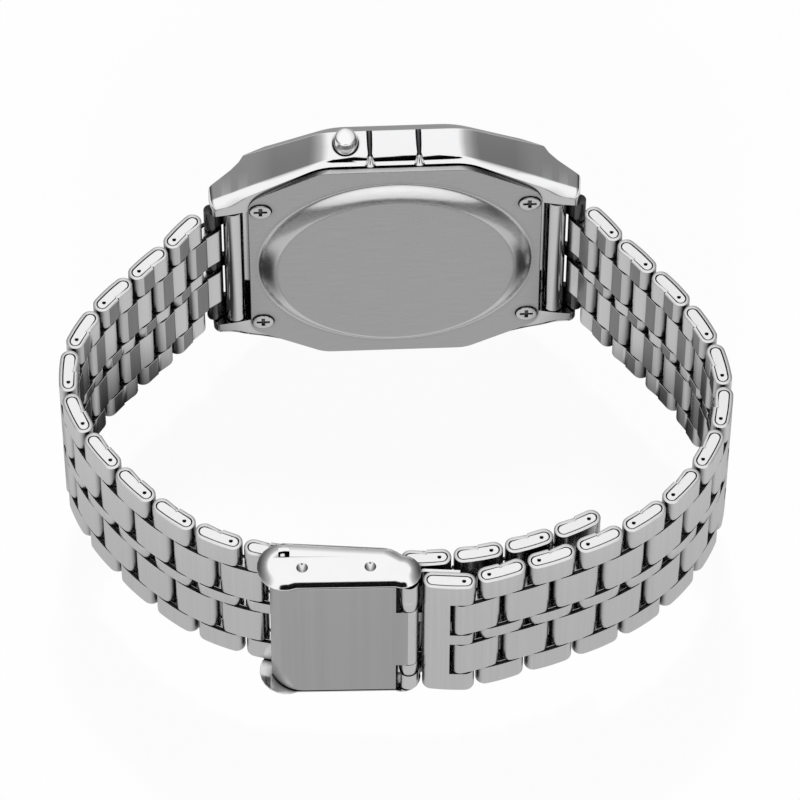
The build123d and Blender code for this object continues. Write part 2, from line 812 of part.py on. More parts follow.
# Glass
with BuildPart() as crystal:
    extrude(
        outline_at(crystal_seat + crystal_thickness, grown(crystal_corners, -running_clearance)),
        amount=crystal_thickness,
    )
    front_edges = crystal.edges().group_by(Axis.Y)[-1]
    chamfer(front_edges, length=crystal_thickness / 3)
crystal.part.label = "crystal"
export_step(crystal.part, "parts/crystal.step")

# Dial mask with its window
with BuildPart() as dial_mask:
    extrude(outline_at(mask_front, mask_corners), amount=mask_thickness)
    with BuildSketch(level(mask_front)):
        Rectangle(mask_window_x, mask_window_z)
    extrude(amount=mask_thickness, mode=Mode.SUBTRACT)
dial_mask.part.label = "dial_mask"
export_step(dial_mask.part, "parts/dial_mask.step")

# Liquid crystal panel, with the light guide behind it
with BuildPart() as lcd_panel:
    with BuildSketch(level(lcd_front)):
        Rectangle(lcd_x, lcd_z)
    extrude(amount=lcd_thickness)
lcd_panel.part.label = "lcd_panel"
export_step(lcd_panel.part, "parts/lcd_panel.step")

with BuildPart() as light_guide:
    with BuildSketch(level(guide_front)):
        Rectangle(lcd_x, guide_z)
    extrude(amount=guide_thickness)
light_guide.part.label = "light_guide"
export_step(light_guide.part, "parts/light_guide.step")

# Rubber contact strips between the panel's edges and the circuit board
with BuildPart() as contact_strips:
    with BuildSketch(level(guide_front)):
        with Locations((0, zebra_middle), (0, -zebra_middle)):
            Rectangle(zebra_x, zebra_z)
    extrude(amount=zebra_length)
contact_strips.part.label = "contact_strips"
export_step(contact_strips.part, "parts/contact_strips.step")

# Module frame: pockets for the panel and guide in front, for the board behind
with BuildPart() as module_frame:
    extrude(outline_at(lcd_front, module_corners), amount=lcd_front - holder_front)
    with BuildSketch(level(lcd_front)):
        Rectangle(lcd_x + 2 * running_clearance, lcd_z + 2 * running_clearance)
    extrude(amount=lcd_thickness, mode=Mode.SUBTRACT)
    with BuildSketch(level(guide_front)):
        Rectangle(lcd_x + 2 * running_clearance, guide_z + 2 * running_clearance)
    extrude(amount=guide_thickness, mode=Mode.SUBTRACT)
    with BuildSketch(level(guide_front)):
        with Locations((0, zebra_middle), (0, -zebra_middle)):
            Rectangle(zebra_x + 2 * running_clearance, zebra_z + 2 * running_clearance)
    extrude(amount=zebra_length, mode=Mode.SUBTRACT)
    extrude(
        outline_at(board_front, grown(board_corners, running_clearance)),
        amount=board_thickness,
        mode=Mode.SUBTRACT,
    )
module_frame.part.label = "module_frame"
export_step(module_frame.part, "parts/module_frame.step")

# Circuit board
with BuildPart() as circuit_board:
    extrude(outline_at(board_front, board_corners), amount=board_thickness)
circuit_board.part.label = "circuit_board"
export_step(circuit_board.part, "parts/circuit_board.step")

# Battery holder, with the cell in its bore and a hole for the alarm contact
with BuildPart() as battery_holder:
    extrude(outline_at(holder_front, module_corners), amount=battery_thickness)
    with BuildSketch(level(holder_front)):
        RegularPolygon(battery_radius + lay_clearance, hollow_sides, major_radius=False)
        with Locations((contact_x, 0)):
            RegularPolygon(contact_hole, pin_sides)
    extrude(amount=battery_thickness, mode=Mode.SUBTRACT)
battery_holder.part.label = "battery_holder"
export_step(battery_holder.part, "parts/battery_holder.step")

with BuildPart() as battery:
    with BuildSketch(level(battery_front)):
        RegularPolygon(battery_radius - battery_step, hollow_sides, major_radius=False)
    extrude(amount=battery_step)
    with BuildSketch(level(battery_front - battery_step)):
        RegularPolygon(battery_radius, hollow_sides, major_radius=False)
    extrude(amount=battery_thickness - battery_step)
battery.part.label = "battery"
export_step(battery.part, "parts/battery.step")

# Battery clip: a flat spring strip across the cell
with BuildPart() as battery_clip:
    with BuildSketch(level(holder_back)):
        Rectangle(clip_width, clip_length)
    extrude(amount=clip_thickness)
battery_clip.part.label = "battery_clip"
export_step(battery_clip.part, "parts/battery_clip.step")

# Alarm: a sounder disc bonded inside the back cover and its contact spring from the board
piezo_back = cover_thickness
with BuildPart() as alarm_disc:
    with BuildSketch(level(piezo_back + piezo_thickness)):
        RegularPolygon(piezo_radius, hollow_sides)
    extrude(amount=piezo_thickness)
alarm_disc.part.label = "alarm_disc"
export_step(alarm_disc.part, "parts/alarm_disc.step")

with BuildPart() as alarm_spring:
    extrude(
        ring_at(level(holder_front), (contact_x, 0), contact_outer, contact_inner, pin_sides),
        amount=holder_front - piezo_back - piezo_thickness,
    )
alarm_spring.part.label = "alarm_spring"
export_step(alarm_spring.part, "parts/alarm_spring.step")

# Gasket in the mouth of the case, round the module
with BuildPart() as back_gasket:
    extrude(
        outline_at(holder_back, grown(cavity_corners, -running_clearance)),
        amount=holder_back - cover_front,
    )
    extrude(
        outline_at(holder_back, grown(cavity_corners, -gasket_width)),
        amount=holder_back - cover_front,
        mode=Mode.SUBTRACT,
    )
back_gasket.part.label = "back_gasket"
export_step(back_gasket.part, "parts/back_gasket.step")

# Push buttons: head, stem and the retainer on the stem's inner end
head_start = button_reach - button_head
retainer_end = cavity_side - running_clearance
for name, x, side in button_places:
    with BuildPart() as button:
        for radius, sides, start, end in (
            (button_radius, barrel_sides, head_start, button_reach),
            (stem_radius, bore_sides, retainer_end - retainer_thickness, head_start),
            (retainer_radius, bore_sides, retainer_end - retainer_thickness, retainer_end),
        ):
            low = Plane.XY.offset(min(side * start, side * end))
            extrude(disc_at(low, (x, button_height), radius, sides), amount=end - start)
        tip_edges = button.edges().group_by(Axis.Z)[-1 if side > 0 else 0]
        chamfer(tip_edges, length=button_radius / 4)
    button.part.label = f"button_{name}"
    export_step(button.part, f"parts/button_{name}.step")

# Return springs, drawn as their outer sleeves, and the rubber seals round the stems
spring_outer = button_radius - lay_clearance
spring_inner = stem_radius + lay_clearance
spring_end = head_start - button_travel - running_clearance
with BuildPart() as button_springs:
    for name, x, side in button_places:
        low = Plane.XY.offset(min(side * button_bore_floor, side * spring_end))
        coil = ring_at(low, (x, button_height), spring_outer, spring_inner, bore_sides)
        extrude(coil, amount=spring_end - button_bore_floor)
button_springs.part.label = "button_springs"
export_step(button_springs.part, "parts/button_springs.step")

with BuildPart() as button_seals:
    for name, x, side in button_places:
        seal_start = cavity_side + running_clearance
        seal_end = cavity_side + seal_depth
        low = Plane.XY.offset(min(side * seal_start, side * seal_end))
        seal_skin = seal_outer - running_clearance
        seal_bore = stem_radius + running_clearance
        seal = ring_at(low, (x, button_height), seal_skin, seal_bore, bore_sides)
        extrude(seal, amount=seal_end - seal_start)
button_seals.part.label = "button_seals"
export_step(button_seals.part, "parts/button_seals.step")
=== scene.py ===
"""A digital wrist watch lying on its side, seen from the back, its folded-link bracelet closed.

Metres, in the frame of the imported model: +X towards 12 o'clock, +Y the way the dial faces, +Z up.
"""
import json
from math import atan2, cos, degrees, hypot, pi, radians, sin

import bmesh
import bpy
import numpy as np
from mathutils import Matrix, Vector
from mathutils.geometry import tessellate_polygon


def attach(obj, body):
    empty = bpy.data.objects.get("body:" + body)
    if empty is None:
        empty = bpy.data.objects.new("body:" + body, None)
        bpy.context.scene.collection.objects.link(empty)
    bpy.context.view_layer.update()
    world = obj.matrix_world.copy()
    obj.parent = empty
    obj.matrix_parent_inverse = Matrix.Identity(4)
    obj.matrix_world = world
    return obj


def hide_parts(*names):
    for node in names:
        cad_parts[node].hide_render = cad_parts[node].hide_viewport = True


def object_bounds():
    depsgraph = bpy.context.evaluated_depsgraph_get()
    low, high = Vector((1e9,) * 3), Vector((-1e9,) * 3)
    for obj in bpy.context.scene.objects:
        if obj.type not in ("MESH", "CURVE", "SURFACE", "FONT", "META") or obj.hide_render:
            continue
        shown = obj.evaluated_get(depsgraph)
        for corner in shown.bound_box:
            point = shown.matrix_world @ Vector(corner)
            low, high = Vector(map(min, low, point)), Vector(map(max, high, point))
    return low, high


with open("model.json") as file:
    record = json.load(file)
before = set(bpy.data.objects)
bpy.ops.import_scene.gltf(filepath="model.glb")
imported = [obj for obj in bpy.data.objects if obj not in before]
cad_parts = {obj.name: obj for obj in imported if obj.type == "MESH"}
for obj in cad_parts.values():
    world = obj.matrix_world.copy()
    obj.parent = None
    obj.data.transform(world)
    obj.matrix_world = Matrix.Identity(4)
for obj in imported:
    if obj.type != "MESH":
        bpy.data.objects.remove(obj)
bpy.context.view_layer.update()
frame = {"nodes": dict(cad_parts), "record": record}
scene = bpy.context.scene
mm = 0.001

# The bracelet's sections: strips of stainless steel folded flat round their pins, in three narrow
# rows and two wide ones. The faces are brushed across the bracelet, cut ends are left bright, and
# the pins are pushed in from the edge and stop short of it.
centre_width = 1.6
inner_width = 5.0
edge_width = 2.9
row_gap = 0.15
inner_start = centre_width / 2 + row_gap
edge_start = inner_start + inner_width + row_gap
half_width = edge_start + edge_width
pin_spacing = 2.4
link_length = 4.6
link_thickness = 1.75
strip = 0.34
leaf_gap = 0.07
crown = 0.055
seam_depth = 0.16
seam_notch = 0.08
seam_width = 0.09
rim = 0.08
leaf_edge = 0.03
leaf_sink = 0.04
pin_hole = 0.17
pin_play = 0.02
pin_end = half_width - 0.35
bar_reach = 15.3
bar_height = 1.7
barrel_radius = 0.95
end_reach = barrel_radius + (link_length - pin_spacing) / 2 + 0.1
left_turns = (-4, 2, 14, 26, 25, 13, 7, 9, 14, 12, 7, 3, 4, 8, 8, 8, 0)
right_turns = (3, -3, -10, -17, -20, -18, -14, -14, -11, -6, -2, 0)
closing_turn = 0.14313575747428356


def step(point, heading, distance):
    """The point a distance away along a heading in degrees, in the XY plane."""
    return point + distance * np.array((cos(radians(heading)), sin(radians(heading))))


def lay_out(bar, swing, first_turn, second_turn, turns, extra):
    """Pins one spacing apart, each turn between long links shared by the two pins between them."""
    pins, short_headings, long_headings = [step(bar, swing, end_reach)], [], []
    heading, half_turn = swing + first_turn, second_turn
    for turn in turns:
        short_headings.append(heading)
        pins.append(step(pins[-1], heading, pin_spacing))
        heading += half_turn
        long_headings.append(heading)
        pins.append(step(pins[-1], heading, pin_spacing))
        half_turn = (turn + extra) / 2
        heading += half_turn
    return pins, short_headings, long_headings, heading


left_bar = np.array((-bar_reach, bar_height))
right_bar = np.array((bar_reach, bar_height))
left_swing, right_swing = 182.0, -6.0
left_pins, left_short, left_long = lay_out(left_bar, left_swing, 38.0, 8.5, left_turns, 0.0)[:3]
right_pins, right_short, right_long, right_end = lay_out(
    right_bar, right_swing, -49.0, 1.0, right_turns, closing_turn
)
right_pins.append(step(right_pins[-1], right_end, pin_spacing))


def folded_outline(low_end, high_end, inset, far=0):
    """A flat oval loop between two ends along X: two half circles of the fold, joined by the
    crowned outer face and by the inner face. There the strip's two ends meet at a seam, the far
    one nearly level and the near one sloping down to it. All lies the inset inside the skin."""
    radius = link_thickness / 2 - inset
    reach = (high_end - low_end - link_thickness) / 2
    middle = (low_end + high_end) / 2
    turn = np.radians(np.linspace(-90, 90, 11))
    right = np.c_[reach + radius * np.cos(turn), radius * np.sin(turn)]
    share = np.array((0.62, 0.3, seam_width / reach, 0.0, -seam_width / reach, -0.3, -0.62))
    near = share * (far or 1) < 0
    dip = np.where(near, seam_depth, seam_depth / 4) * (1 - np.abs(share)) * abs(far)
    dip[len(dip) // 2] = (seam_depth + seam_notch) * abs(far)
    inner = np.c_[reach * share, radius - dip]
    share = np.array((-0.75, -0.5, -0.25, 0.0, 0.25, 0.5, 0.75))
    outer = np.c_[reach * share, -radius - crown * (1 - share**2)]
    return np.vstack((right, inner, -right, outer)) + (middle, 0)


def leaf_outline(inset):
    """The flat oval of the inner leaf, which fills the strip but for a gap all round it."""
    radius = link_thickness / 2 - strip - leaf_gap - inset
    reach = (link_length - link_thickness) / 2
    turn = np.radians(np.linspace(-90, 90, 7))
    right = np.c_[reach + radius * np.cos(turn), radius * np.sin(turn)]
    bow = np.array((-0.5, 0.0, 0.5))
    outer = np.c_[reach * bow, -radius - crown * (1 - bow**2)]
    return np.vstack((right, -right, outer))


def circle(radius, around, centre=(0.0, 0.0)):
    """Points of a circle, counterclockwise."""
    turn = np.linspace(0, 2 * pi, around, endpoint=False)
    return np.c_[centre[0] + radius * np.cos(turn), centre[1] + radius * np.sin(turn)]


def inset_loop(loop, distance):
    """A closed loop moved to its left by a distance: each point goes along the mean of its two
    sides' normals, lengthened so that the sides move evenly."""
    side = np.roll(loop, -1, 0) - loop
    side /= np.linalg.norm(side, axis=1)[:, None]
    normal = np.c_[-side[:, 1], side[:, 0]]
    before = np.roll(normal, 1, 0)
    spread = 1 + np.sum(normal * before, axis=1)[:, None]
    return loop + distance * (normal + before) / np.maximum(spread, 0.3)


def at_height(loop, height):
    """A flat loop of X and Y values set at a height Z."""
    return np.c_[loop, np.full(len(loop), height)]


def carry(rings):
    """Faces between rings of one size, each ring joined to the next and the last to the first."""
    count, around = len(rings), len(rings[0])
    ring, spot = np.meshgrid(np.arange(count), np.arange(around), indexing="ij")
    after, beside = (ring + 1) % count, (spot + 1) % around
    ring, after = ring * around, after * around
    corners = np.stack((ring + spot, ring + beside, after + beside, after + spot), axis=-1)
    return np.vstack(rings), corners.reshape(-1, 4)


def capped(rings):
    """Faces between rings of one size in a row, with a flat face closing each end."""
    points, quads = carry(rings)
    around = len(rings[0])
    faces = quads[: (len(rings) - 1) * around].tolist()
    last = (len(rings) - 1) * around
    faces.append(list(range(around))[::-1])
    faces.append(list(range(last, last + around)))
    return points, faces


dish_steps = 7


def slab(loops, low, high, edge=0.05, bends=2, dish=None):
    """A plate along Z with holes: its outline runs counterclockwise and its holes clockwise. At
    each edge the loops draw in along a quarter circle, and both faces are filled between them. A
    dish is a width along the outline where the high face falls away as a square, and its fall."""
    turn = np.radians(np.linspace(0, 90, bends + 1))
    points, faces, start = [], [], 0
    flat_low, flat_high, own, top = [], [], [], []
    for loop in loops:
        draw, rise = edge * (1 - np.sin(turn)), edge * (1 - np.cos(turn))
        insets = np.r_[draw, draw[::-1]]
        heights = np.r_[low + rise, high - rise[::-1]]
        if dish and loop is loops[0]:
            share = np.linspace(0, 1, dish_steps + 1)[1:]
            heights[bends + 1 :] -= dish[1]
            insets = np.r_[insets, edge + dish[0] * share]
            heights = np.r_[heights, high - dish[1] * (1 - share) ** 2]
        rings = [at_height(inset_loop(loop, inset), at) for inset, at in zip(insets, heights)]
        ring_points, quads = carry(rings)
        keep = quads[: (len(rings) - 1) * len(loop)] + start
        faces += keep.tolist()
        points.append(ring_points)
        own += list(range(start, start + len(loop)))
        last = start + (len(rings) - 1) * len(loop)
        top += list(range(last, last + len(loop)))
        flat_low.append([Vector(point) for point in rings[0]])
        flat_high.append([Vector(point) for point in rings[-1]])
        start += len(ring_points)
    for flat, numbers, below in ((flat_low, own, True), (flat_high, top, False)):
        for triangle in tessellate_polygon(flat):
            corners = [numbers[corner] for corner in triangle]
            a, b, c = (np.array(np.vstack(points)[corner][:2]) for corner in corners)
            ccw = (b[0] - a[0]) * (c[1] - a[1]) - (b[1] - a[1]) * (c[0] - a[0]) > 0
            faces.append(corners[::-1] if ccw == below else corners)
    return np.vstack(points), faces


def tube(low_end, high_end, low, high, far=0):
    """The folded strip as a closed tube: its outer skin, its rounded rims and its inside."""
    bulge = rim * 0.3
    levels = (
        (rim, low), (bulge, low + bulge), (0, low + rim),
        (0, high - rim), (bulge, high - bulge), (rim, high),
        (strip - rim / 2, high), (strip, high - rim / 2),
        (strip, low + rim / 2), (strip - rim / 2, low),
    )
    return carry([
        at_height(folded_outline(low_end, high_end, inset, far), height) for inset, height in levels
    ])


def rod(radius, low, high, edge=0.05, around=16):
    """A round bar along Z with a small round edge at each end."""
    return slab([circle(radius, around)], low, high, edge)


def placed(shape, origin, heading):
    """A shape turned about Z to a heading in degrees and set at a point."""
    points, faces = shape
    turn = radians(heading)
    x = points[:, 0] * cos(turn) - points[:, 1] * sin(turn) + origin[0]
    y = points[:, 0] * sin(turn) + points[:, 1] * cos(turn) + origin[1]
    return np.c_[x, y, points[:, 2]], faces


def piece(name, shapes, materials, body, smooth=35.0):
    """One object from shapes in millimetres, each with the number of its material, or one number
    for each of its faces."""
    points, faces, picks = [], [], []
    start = 0
    for (shape_points, shape_faces), pick in shapes:
        points.append(shape_points)
        faces.extend([[start + corner for corner in face] for face in shape_faces])
        picks.extend(pick if isinstance(pick, list) else [pick] * len(shape_faces))
        start += len(shape_points)
    mesh = bpy.data.meshes.new(name)
    mesh.from_pydata((np.vstack(points) * mm).tolist(), [], faces)
    for material in materials:
        mesh.materials.append(material)
    mesh.polygons.foreach_set("material_index", picks)
    mesh.polygons.foreach_set("use_smooth", [True] * len(faces))
    mesh.set_sharp_from_angle(angle=radians(smooth))
    mesh.update()
    made = bpy.data.objects.new(name, mesh)
    scene.collection.objects.link(made)
    if body:
        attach(made, body)
    return made


def feed(tree, node, inputs):
    """Give inputs of a shader node their values, or link them to the outputs of other nodes."""
    for name, value in inputs.items():
        if isinstance(value, bpy.types.NodeSocket):
            tree.links.new(value, node.inputs[name])
        else:
            node.inputs[name].default_value = value


def add_node(tree, kind, inputs=None, **settings):
    """A shader node with its settings and inputs. Its outputs are returned."""
    made = tree.nodes.new("ShaderNode" + kind)
    for name, value in settings.items():
        setattr(made, name, value)
    feed(tree, made, inputs or {})
    return made.outputs


def new_material(name):
    """A material made with nodes, its node tree and its shader."""
    made = bpy.data.materials.new(name)
    made.use_nodes = True
    return made, made.node_tree, made.node_tree.nodes["Principled BSDF"]


def steel(name, colour, roughness, grain, scale, shade, bump, crease=0.8):
    """A steel whose grain is a noise on the piece's own coordinates, drawn out along one axis: it
    moves the colour and the roughness a little and cuts a fine bump. Where it lies deep in a gap it
    has painted shade: its colour goes towards near black by the square of how open the surface is
    within the crease's width."""
    gloss_shift = 0.15
    bump_depth = 0.05
    painted_gap_shade_colour = (0.015, 0.015, 0.015, 1)
    made, tree, shader = new_material(name)
    place = add_node(tree, "TexCoord")["Object"]
    stretch = add_node(tree, "Mapping", {"Vector": place, "Scale": grain})["Vector"]
    noise = add_node(tree, "TexNoise", {"Vector": stretch, "Scale": scale, "Detail": 4.0})["Fac"]
    dark, light = (
        (*[min(1.0, value * share) for value in colour], 1) for share in (1 - shade, 1 + shade)
    )
    tint = add_node(tree, "Mix", {"Factor": noise, "A": dark, "B": light}, data_type="RGBA")
    gloss = {"To Min": roughness * (1 - gloss_shift), "To Max": roughness * (1 + gloss_shift)}
    relief = {"Height": noise, "Strength": bump, "Distance": bump_depth * mm}
    # painted shade: the colour goes towards near black where the surface lies deep in a gap
    openness = add_node(tree, "AmbientOcclusion", {"Distance": crease * mm}, samples=6)["AO"]
    squared = add_node(tree, "Math", {0: openness, 1: 2.0}, operation="POWER")["Value"]
    painted_gap_shade = {"Factor": squared, "A": painted_gap_shade_colour, "B": tint["Result"]}
    feed(tree, shader, {
        "Metallic": 1.0,
        "Base Color": add_node(tree, "Mix", painted_gap_shade, data_type="RGBA")["Result"],
        "Roughness": add_node(tree, "MapRange", {"Value": noise, **gloss})["Result"],
        "Normal": add_node(tree, "Bump", relief)["Normal"],
    })
    return made


link_faces = steel("link_brushed_faces", (0.84, 0.84, 0.84), 0.24, (1, 1, 0.015), 2600, 0.08, 0.1)
# painted highlight and painted shade: lit and shaded copies of the brushed link steel for the near
# and far halves of each link's inner face
link_near_painted_highlight = steel("link_near_end_faces", (0.97, 0.97, 0.97), 0.16, (1, 1, 0.015), 2600, 0.03, 0.06)
link_far_painted_shade = steel("link_far_end_faces", (0.3, 0.3, 0.3), 0.2, (1, 1, 0.015), 2600, 0.1, 0.1)
link_ends = steel("link_bright_ends", (0.92, 0.92, 0.92), 0.2, (1, 1, 1), 1800, 0.06, 0.05, 0.2)
# painted shade: near-black steel where shade falls in the gaps between rows, inside the strips and
# on the sides of the clasp's lock holes
gap_painted_shade_steel = steel("link_gap_sides_painted_shade", (0.06, 0.06, 0.06), 0.4, (1, 1, 1), 1800, 0.2, 0.1)
pin_steel = steel("pin_steel", (0.4, 0.4, 0.4), 0.25, (1, 1, 0.05), 1200, 0.1, 0.05)
link_set = [link_faces, link_ends, pin_steel, link_near_painted_highlight, link_far_painted_shade, gap_painted_shade_steel]
face_pick, end_pick, pin_pick, near_painted_highlight_pick, far_painted_shade_pick, gap_painted_shade_pick = range(len(link_set))

long_rows = (
    (-half_width, -edge_start), (-centre_width / 2, centre_width / 2), (edge_start, half_width)
)
short_rows = ((-inner_start - inner_width, -inner_start), (inner_start, inner_start + inner_width))
link_half = link_length / 2
# bands of faces round a tube, and the two halves of its inner face within a band
tube_bands = 10
low_side, skin_band, high_side, inside_band = [0, 9], 2, [4, 5], 7
first_half, second_half = slice(10, 14), slice(14, 18)
body_of_node = {
    node: body for body, nodes in frame["record"]["behaviour"]["bodies"].items() for node in nodes
}


def folded(low, high, origin, heading, far=1):
    """One folded link at its place: the strip, and in it the leaf with a hole for a pin's end. The
    inner face's near half, which slopes to the seam, has a painted highlight, and its far half,
    nearly level, has painted shade; the sides that face another row and the strip's inside have
    painted shade."""
    hole = circle(pin_hole, 10, (far * pin_spacing / 2, 0))[::-1]
    leaf = slab([leaf_outline(0), hole], low + leaf_sink, high - leaf_sink, leaf_edge, 1)
    skin = tube(-link_half, link_half, low, high, far)
    picks = np.full(len(skin[1]), face_pick).reshape(tube_bands, -1)
    # the near half of the inner face gets the painted highlight, the far half the painted shade
    halves = (near_painted_highlight_pick, far_painted_shade_pick) if far < 0 else (far_painted_shade_pick, near_painted_highlight_pick)
    picks[skin_band, first_half], picks[skin_band, second_half] = halves
    # sides that face another row, and the strip's inside, get painted shade
    if low > -half_width:
        picks[low_side] = gap_painted_shade_pick
    if high < half_width:
        picks[high_side] = gap_painted_shade_pick
    picks[inside_band] = gap_painted_shade_pick
    return [
        (placed(skin, origin, heading), picks.ravel().tolist()),
        (placed(leaf, origin, heading), end_pick),
    ]


def link_pin(place):
    """A pin across the bracelet, which stops short of both edges, with its finish."""
    return placed(rod(pin_hole - pin_play, -pin_end, pin_end, around=10), place, 0), pin_pick


def even(made):
    """Shade a piece's wide flat faces flat, up to its round edges: each corner's normal leans to
    the larger of the faces that meet there."""
    shading = made.modifiers.new("even", "WEIGHTED_NORMAL")
    shading.keep_sharp = True


def stand_for(made, node):
    """Shade the piece's wide flat faces flat, and hide the solid that it stands for."""
    even(made)
    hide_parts(node)


for half, pins, short_headings, long_headings in (
    ("L", left_pins, left_short, left_long), ("R", right_pins, right_short, right_long)
):
    flip, far = (0.0, 1) if half == "L" else (180.0, -1)
    for number in range(1, len(long_headings) + 1):
        before, between = pins[2 * number - 2 : 2 * number]
        shapes = []
        for rows, pin, heading in (
            (short_rows, before, short_headings[number - 1]),
            (long_rows, between, long_headings[number - 1]),
        ):
            middle = step(pin, heading, pin_spacing / 2)
            for low, high in rows:
                shapes += folded(low, high, middle, heading + flip, far)
        shapes += [link_pin(pin) for pin in pins[2 * number - 1 : 2 * number + 1]]
        node = f"link_{half}{number:02d}"
        section = piece(f"bracelet_{half}{number:02d}", shapes, link_set, body_of_node[node])
        stand_for(section, node)

# The last section of the 12 o'clock half: two wide folded links, whose pin also holds the clasp's
# end link. They are of the same strip and pin as the others, turned to meet the clasp pin.
hook_reach = 5.0
hook_outward = 0.15
clasp_link = 12
clasp_along = 8.2
clasp_outward = 2.0
clasp_tilt = 5.4
held_heading = left_long[clasp_link - 1]
held_middle = step(left_pins[2 * clasp_link - 1], held_heading, pin_spacing / 2)
clasp_pin = step(step(held_middle, held_heading, clasp_along), held_heading - 90, clasp_outward)
clasp_heading = held_heading + clasp_tilt
hook_line = degrees(atan2(clasp_pin[1] - right_pins[-1][1], clasp_pin[0] - right_pins[-1][0]))
last_heading = hook_line - degrees(atan2(hook_outward, hook_reach)) + 180
last_middle = step(right_pins[-2], right_end, pin_spacing / 2)
shapes = []
for low, high in short_rows:
    shapes += folded(low, high, last_middle, right_end + 180, -1)
shapes.append(link_pin(right_pins[-1]))
section = piece("bracelet_R13", shapes, link_set, "clasp_end")
stand_for(section, "link_R13")

# End links: one strip of steel rolled round each spring bar into a barrel, with three fingers
# folded back round the first pin of the bracelet. Polished barrel; brushed fingers with painted
# shade, a much darker colour than the barrel's for the shade in the lug's pocket.
barrel_wall = 0.3
barrel_half = half_width - 0.1
barrel_edge = 0.08
finger_eye = 0.62
finger_edge = 0.06
# the barrel's painted shade in gaps reaches further, darkening its side towards the case
barrel_steel = steel(
    "barrel_polished", (0.97, 0.97, 0.97), 0.12, (1, 1, 0.05), 1400, 0.03, 0.03, 1.3
)
# painted shade: the fingers' steel is made near black for the shade in the lug's pocket
finger_painted_shade_steel = steel("finger_painted_shade_steel", (0.13, 0.13, 0.13), 0.3, (1, 1, 0.05), 1400, 0.1, 0.05)
end_set = [link_faces, barrel_steel, pin_steel, finger_painted_shade_steel]
barrel_pick, finger_pick = 1, 3


def hoop(outer, bore, around):
    """The two loops of a round tube, for a plate with a hole."""
    return [circle(outer, around), circle(bore, around)[::-1]]


for clock, bar, heading, side, first_pin in (
    ("12", right_bar, right_swing + 180, -1, right_pins[0]),
    ("6", left_bar, left_swing, 1, left_pins[0]),
):
    loops = hoop(barrel_radius, barrel_radius - barrel_wall, 28)
    barrel = slab(loops, -barrel_half, barrel_half, barrel_edge)
    shapes = [(placed(barrel, bar, heading), barrel_pick)]
    turn = np.radians(np.linspace(-110, 160, 16))
    eye = np.c_[end_reach + finger_eye * np.cos(turn), finger_eye * np.sin(turn)]
    finger_line = np.vstack(([(0.7, -0.8)], eye, [(0.75, -0.3)]))
    finger_line = (finger_line * (side, 1))[::side]
    for low, high in long_rows:
        finger = slab([finger_line], max(low, -barrel_half), min(high, barrel_half), finger_edge)
        shapes.append((placed(finger, bar, heading), finger_pick))
    shapes.append(link_pin(first_pin))
    section = piece(f"end_link_{clock}_folded", shapes, end_set, f"end_{clock}")
    stand_for(section, f"end_link_{clock}")

# Spring bars: a drawn steel tube with a thinner sprung tip at each end, which snaps into the lugs
# and holds the barrel of the end link.
bar_radius = 0.4
bar_half = half_width + 0.15
tip_radius = 0.25
tip_reach = 0.7
tip_overlap = 0.05
shapes = []
for bar in (left_bar, right_bar):
    shapes.append((placed(rod(bar_radius, -bar_half, bar_half), bar, 0), 0))
    for side in (-1, 1):
        inner, outer = sorted((side * (bar_half - tip_overlap), side * (bar_half + tip_reach)))
        shapes.append((placed(rod(tip_radius, inner, outer), bar, 0), 0))
bars = piece("spring_bars_pair", shapes, [pin_steel], "case")
stand_for(bars, "spring_bars")

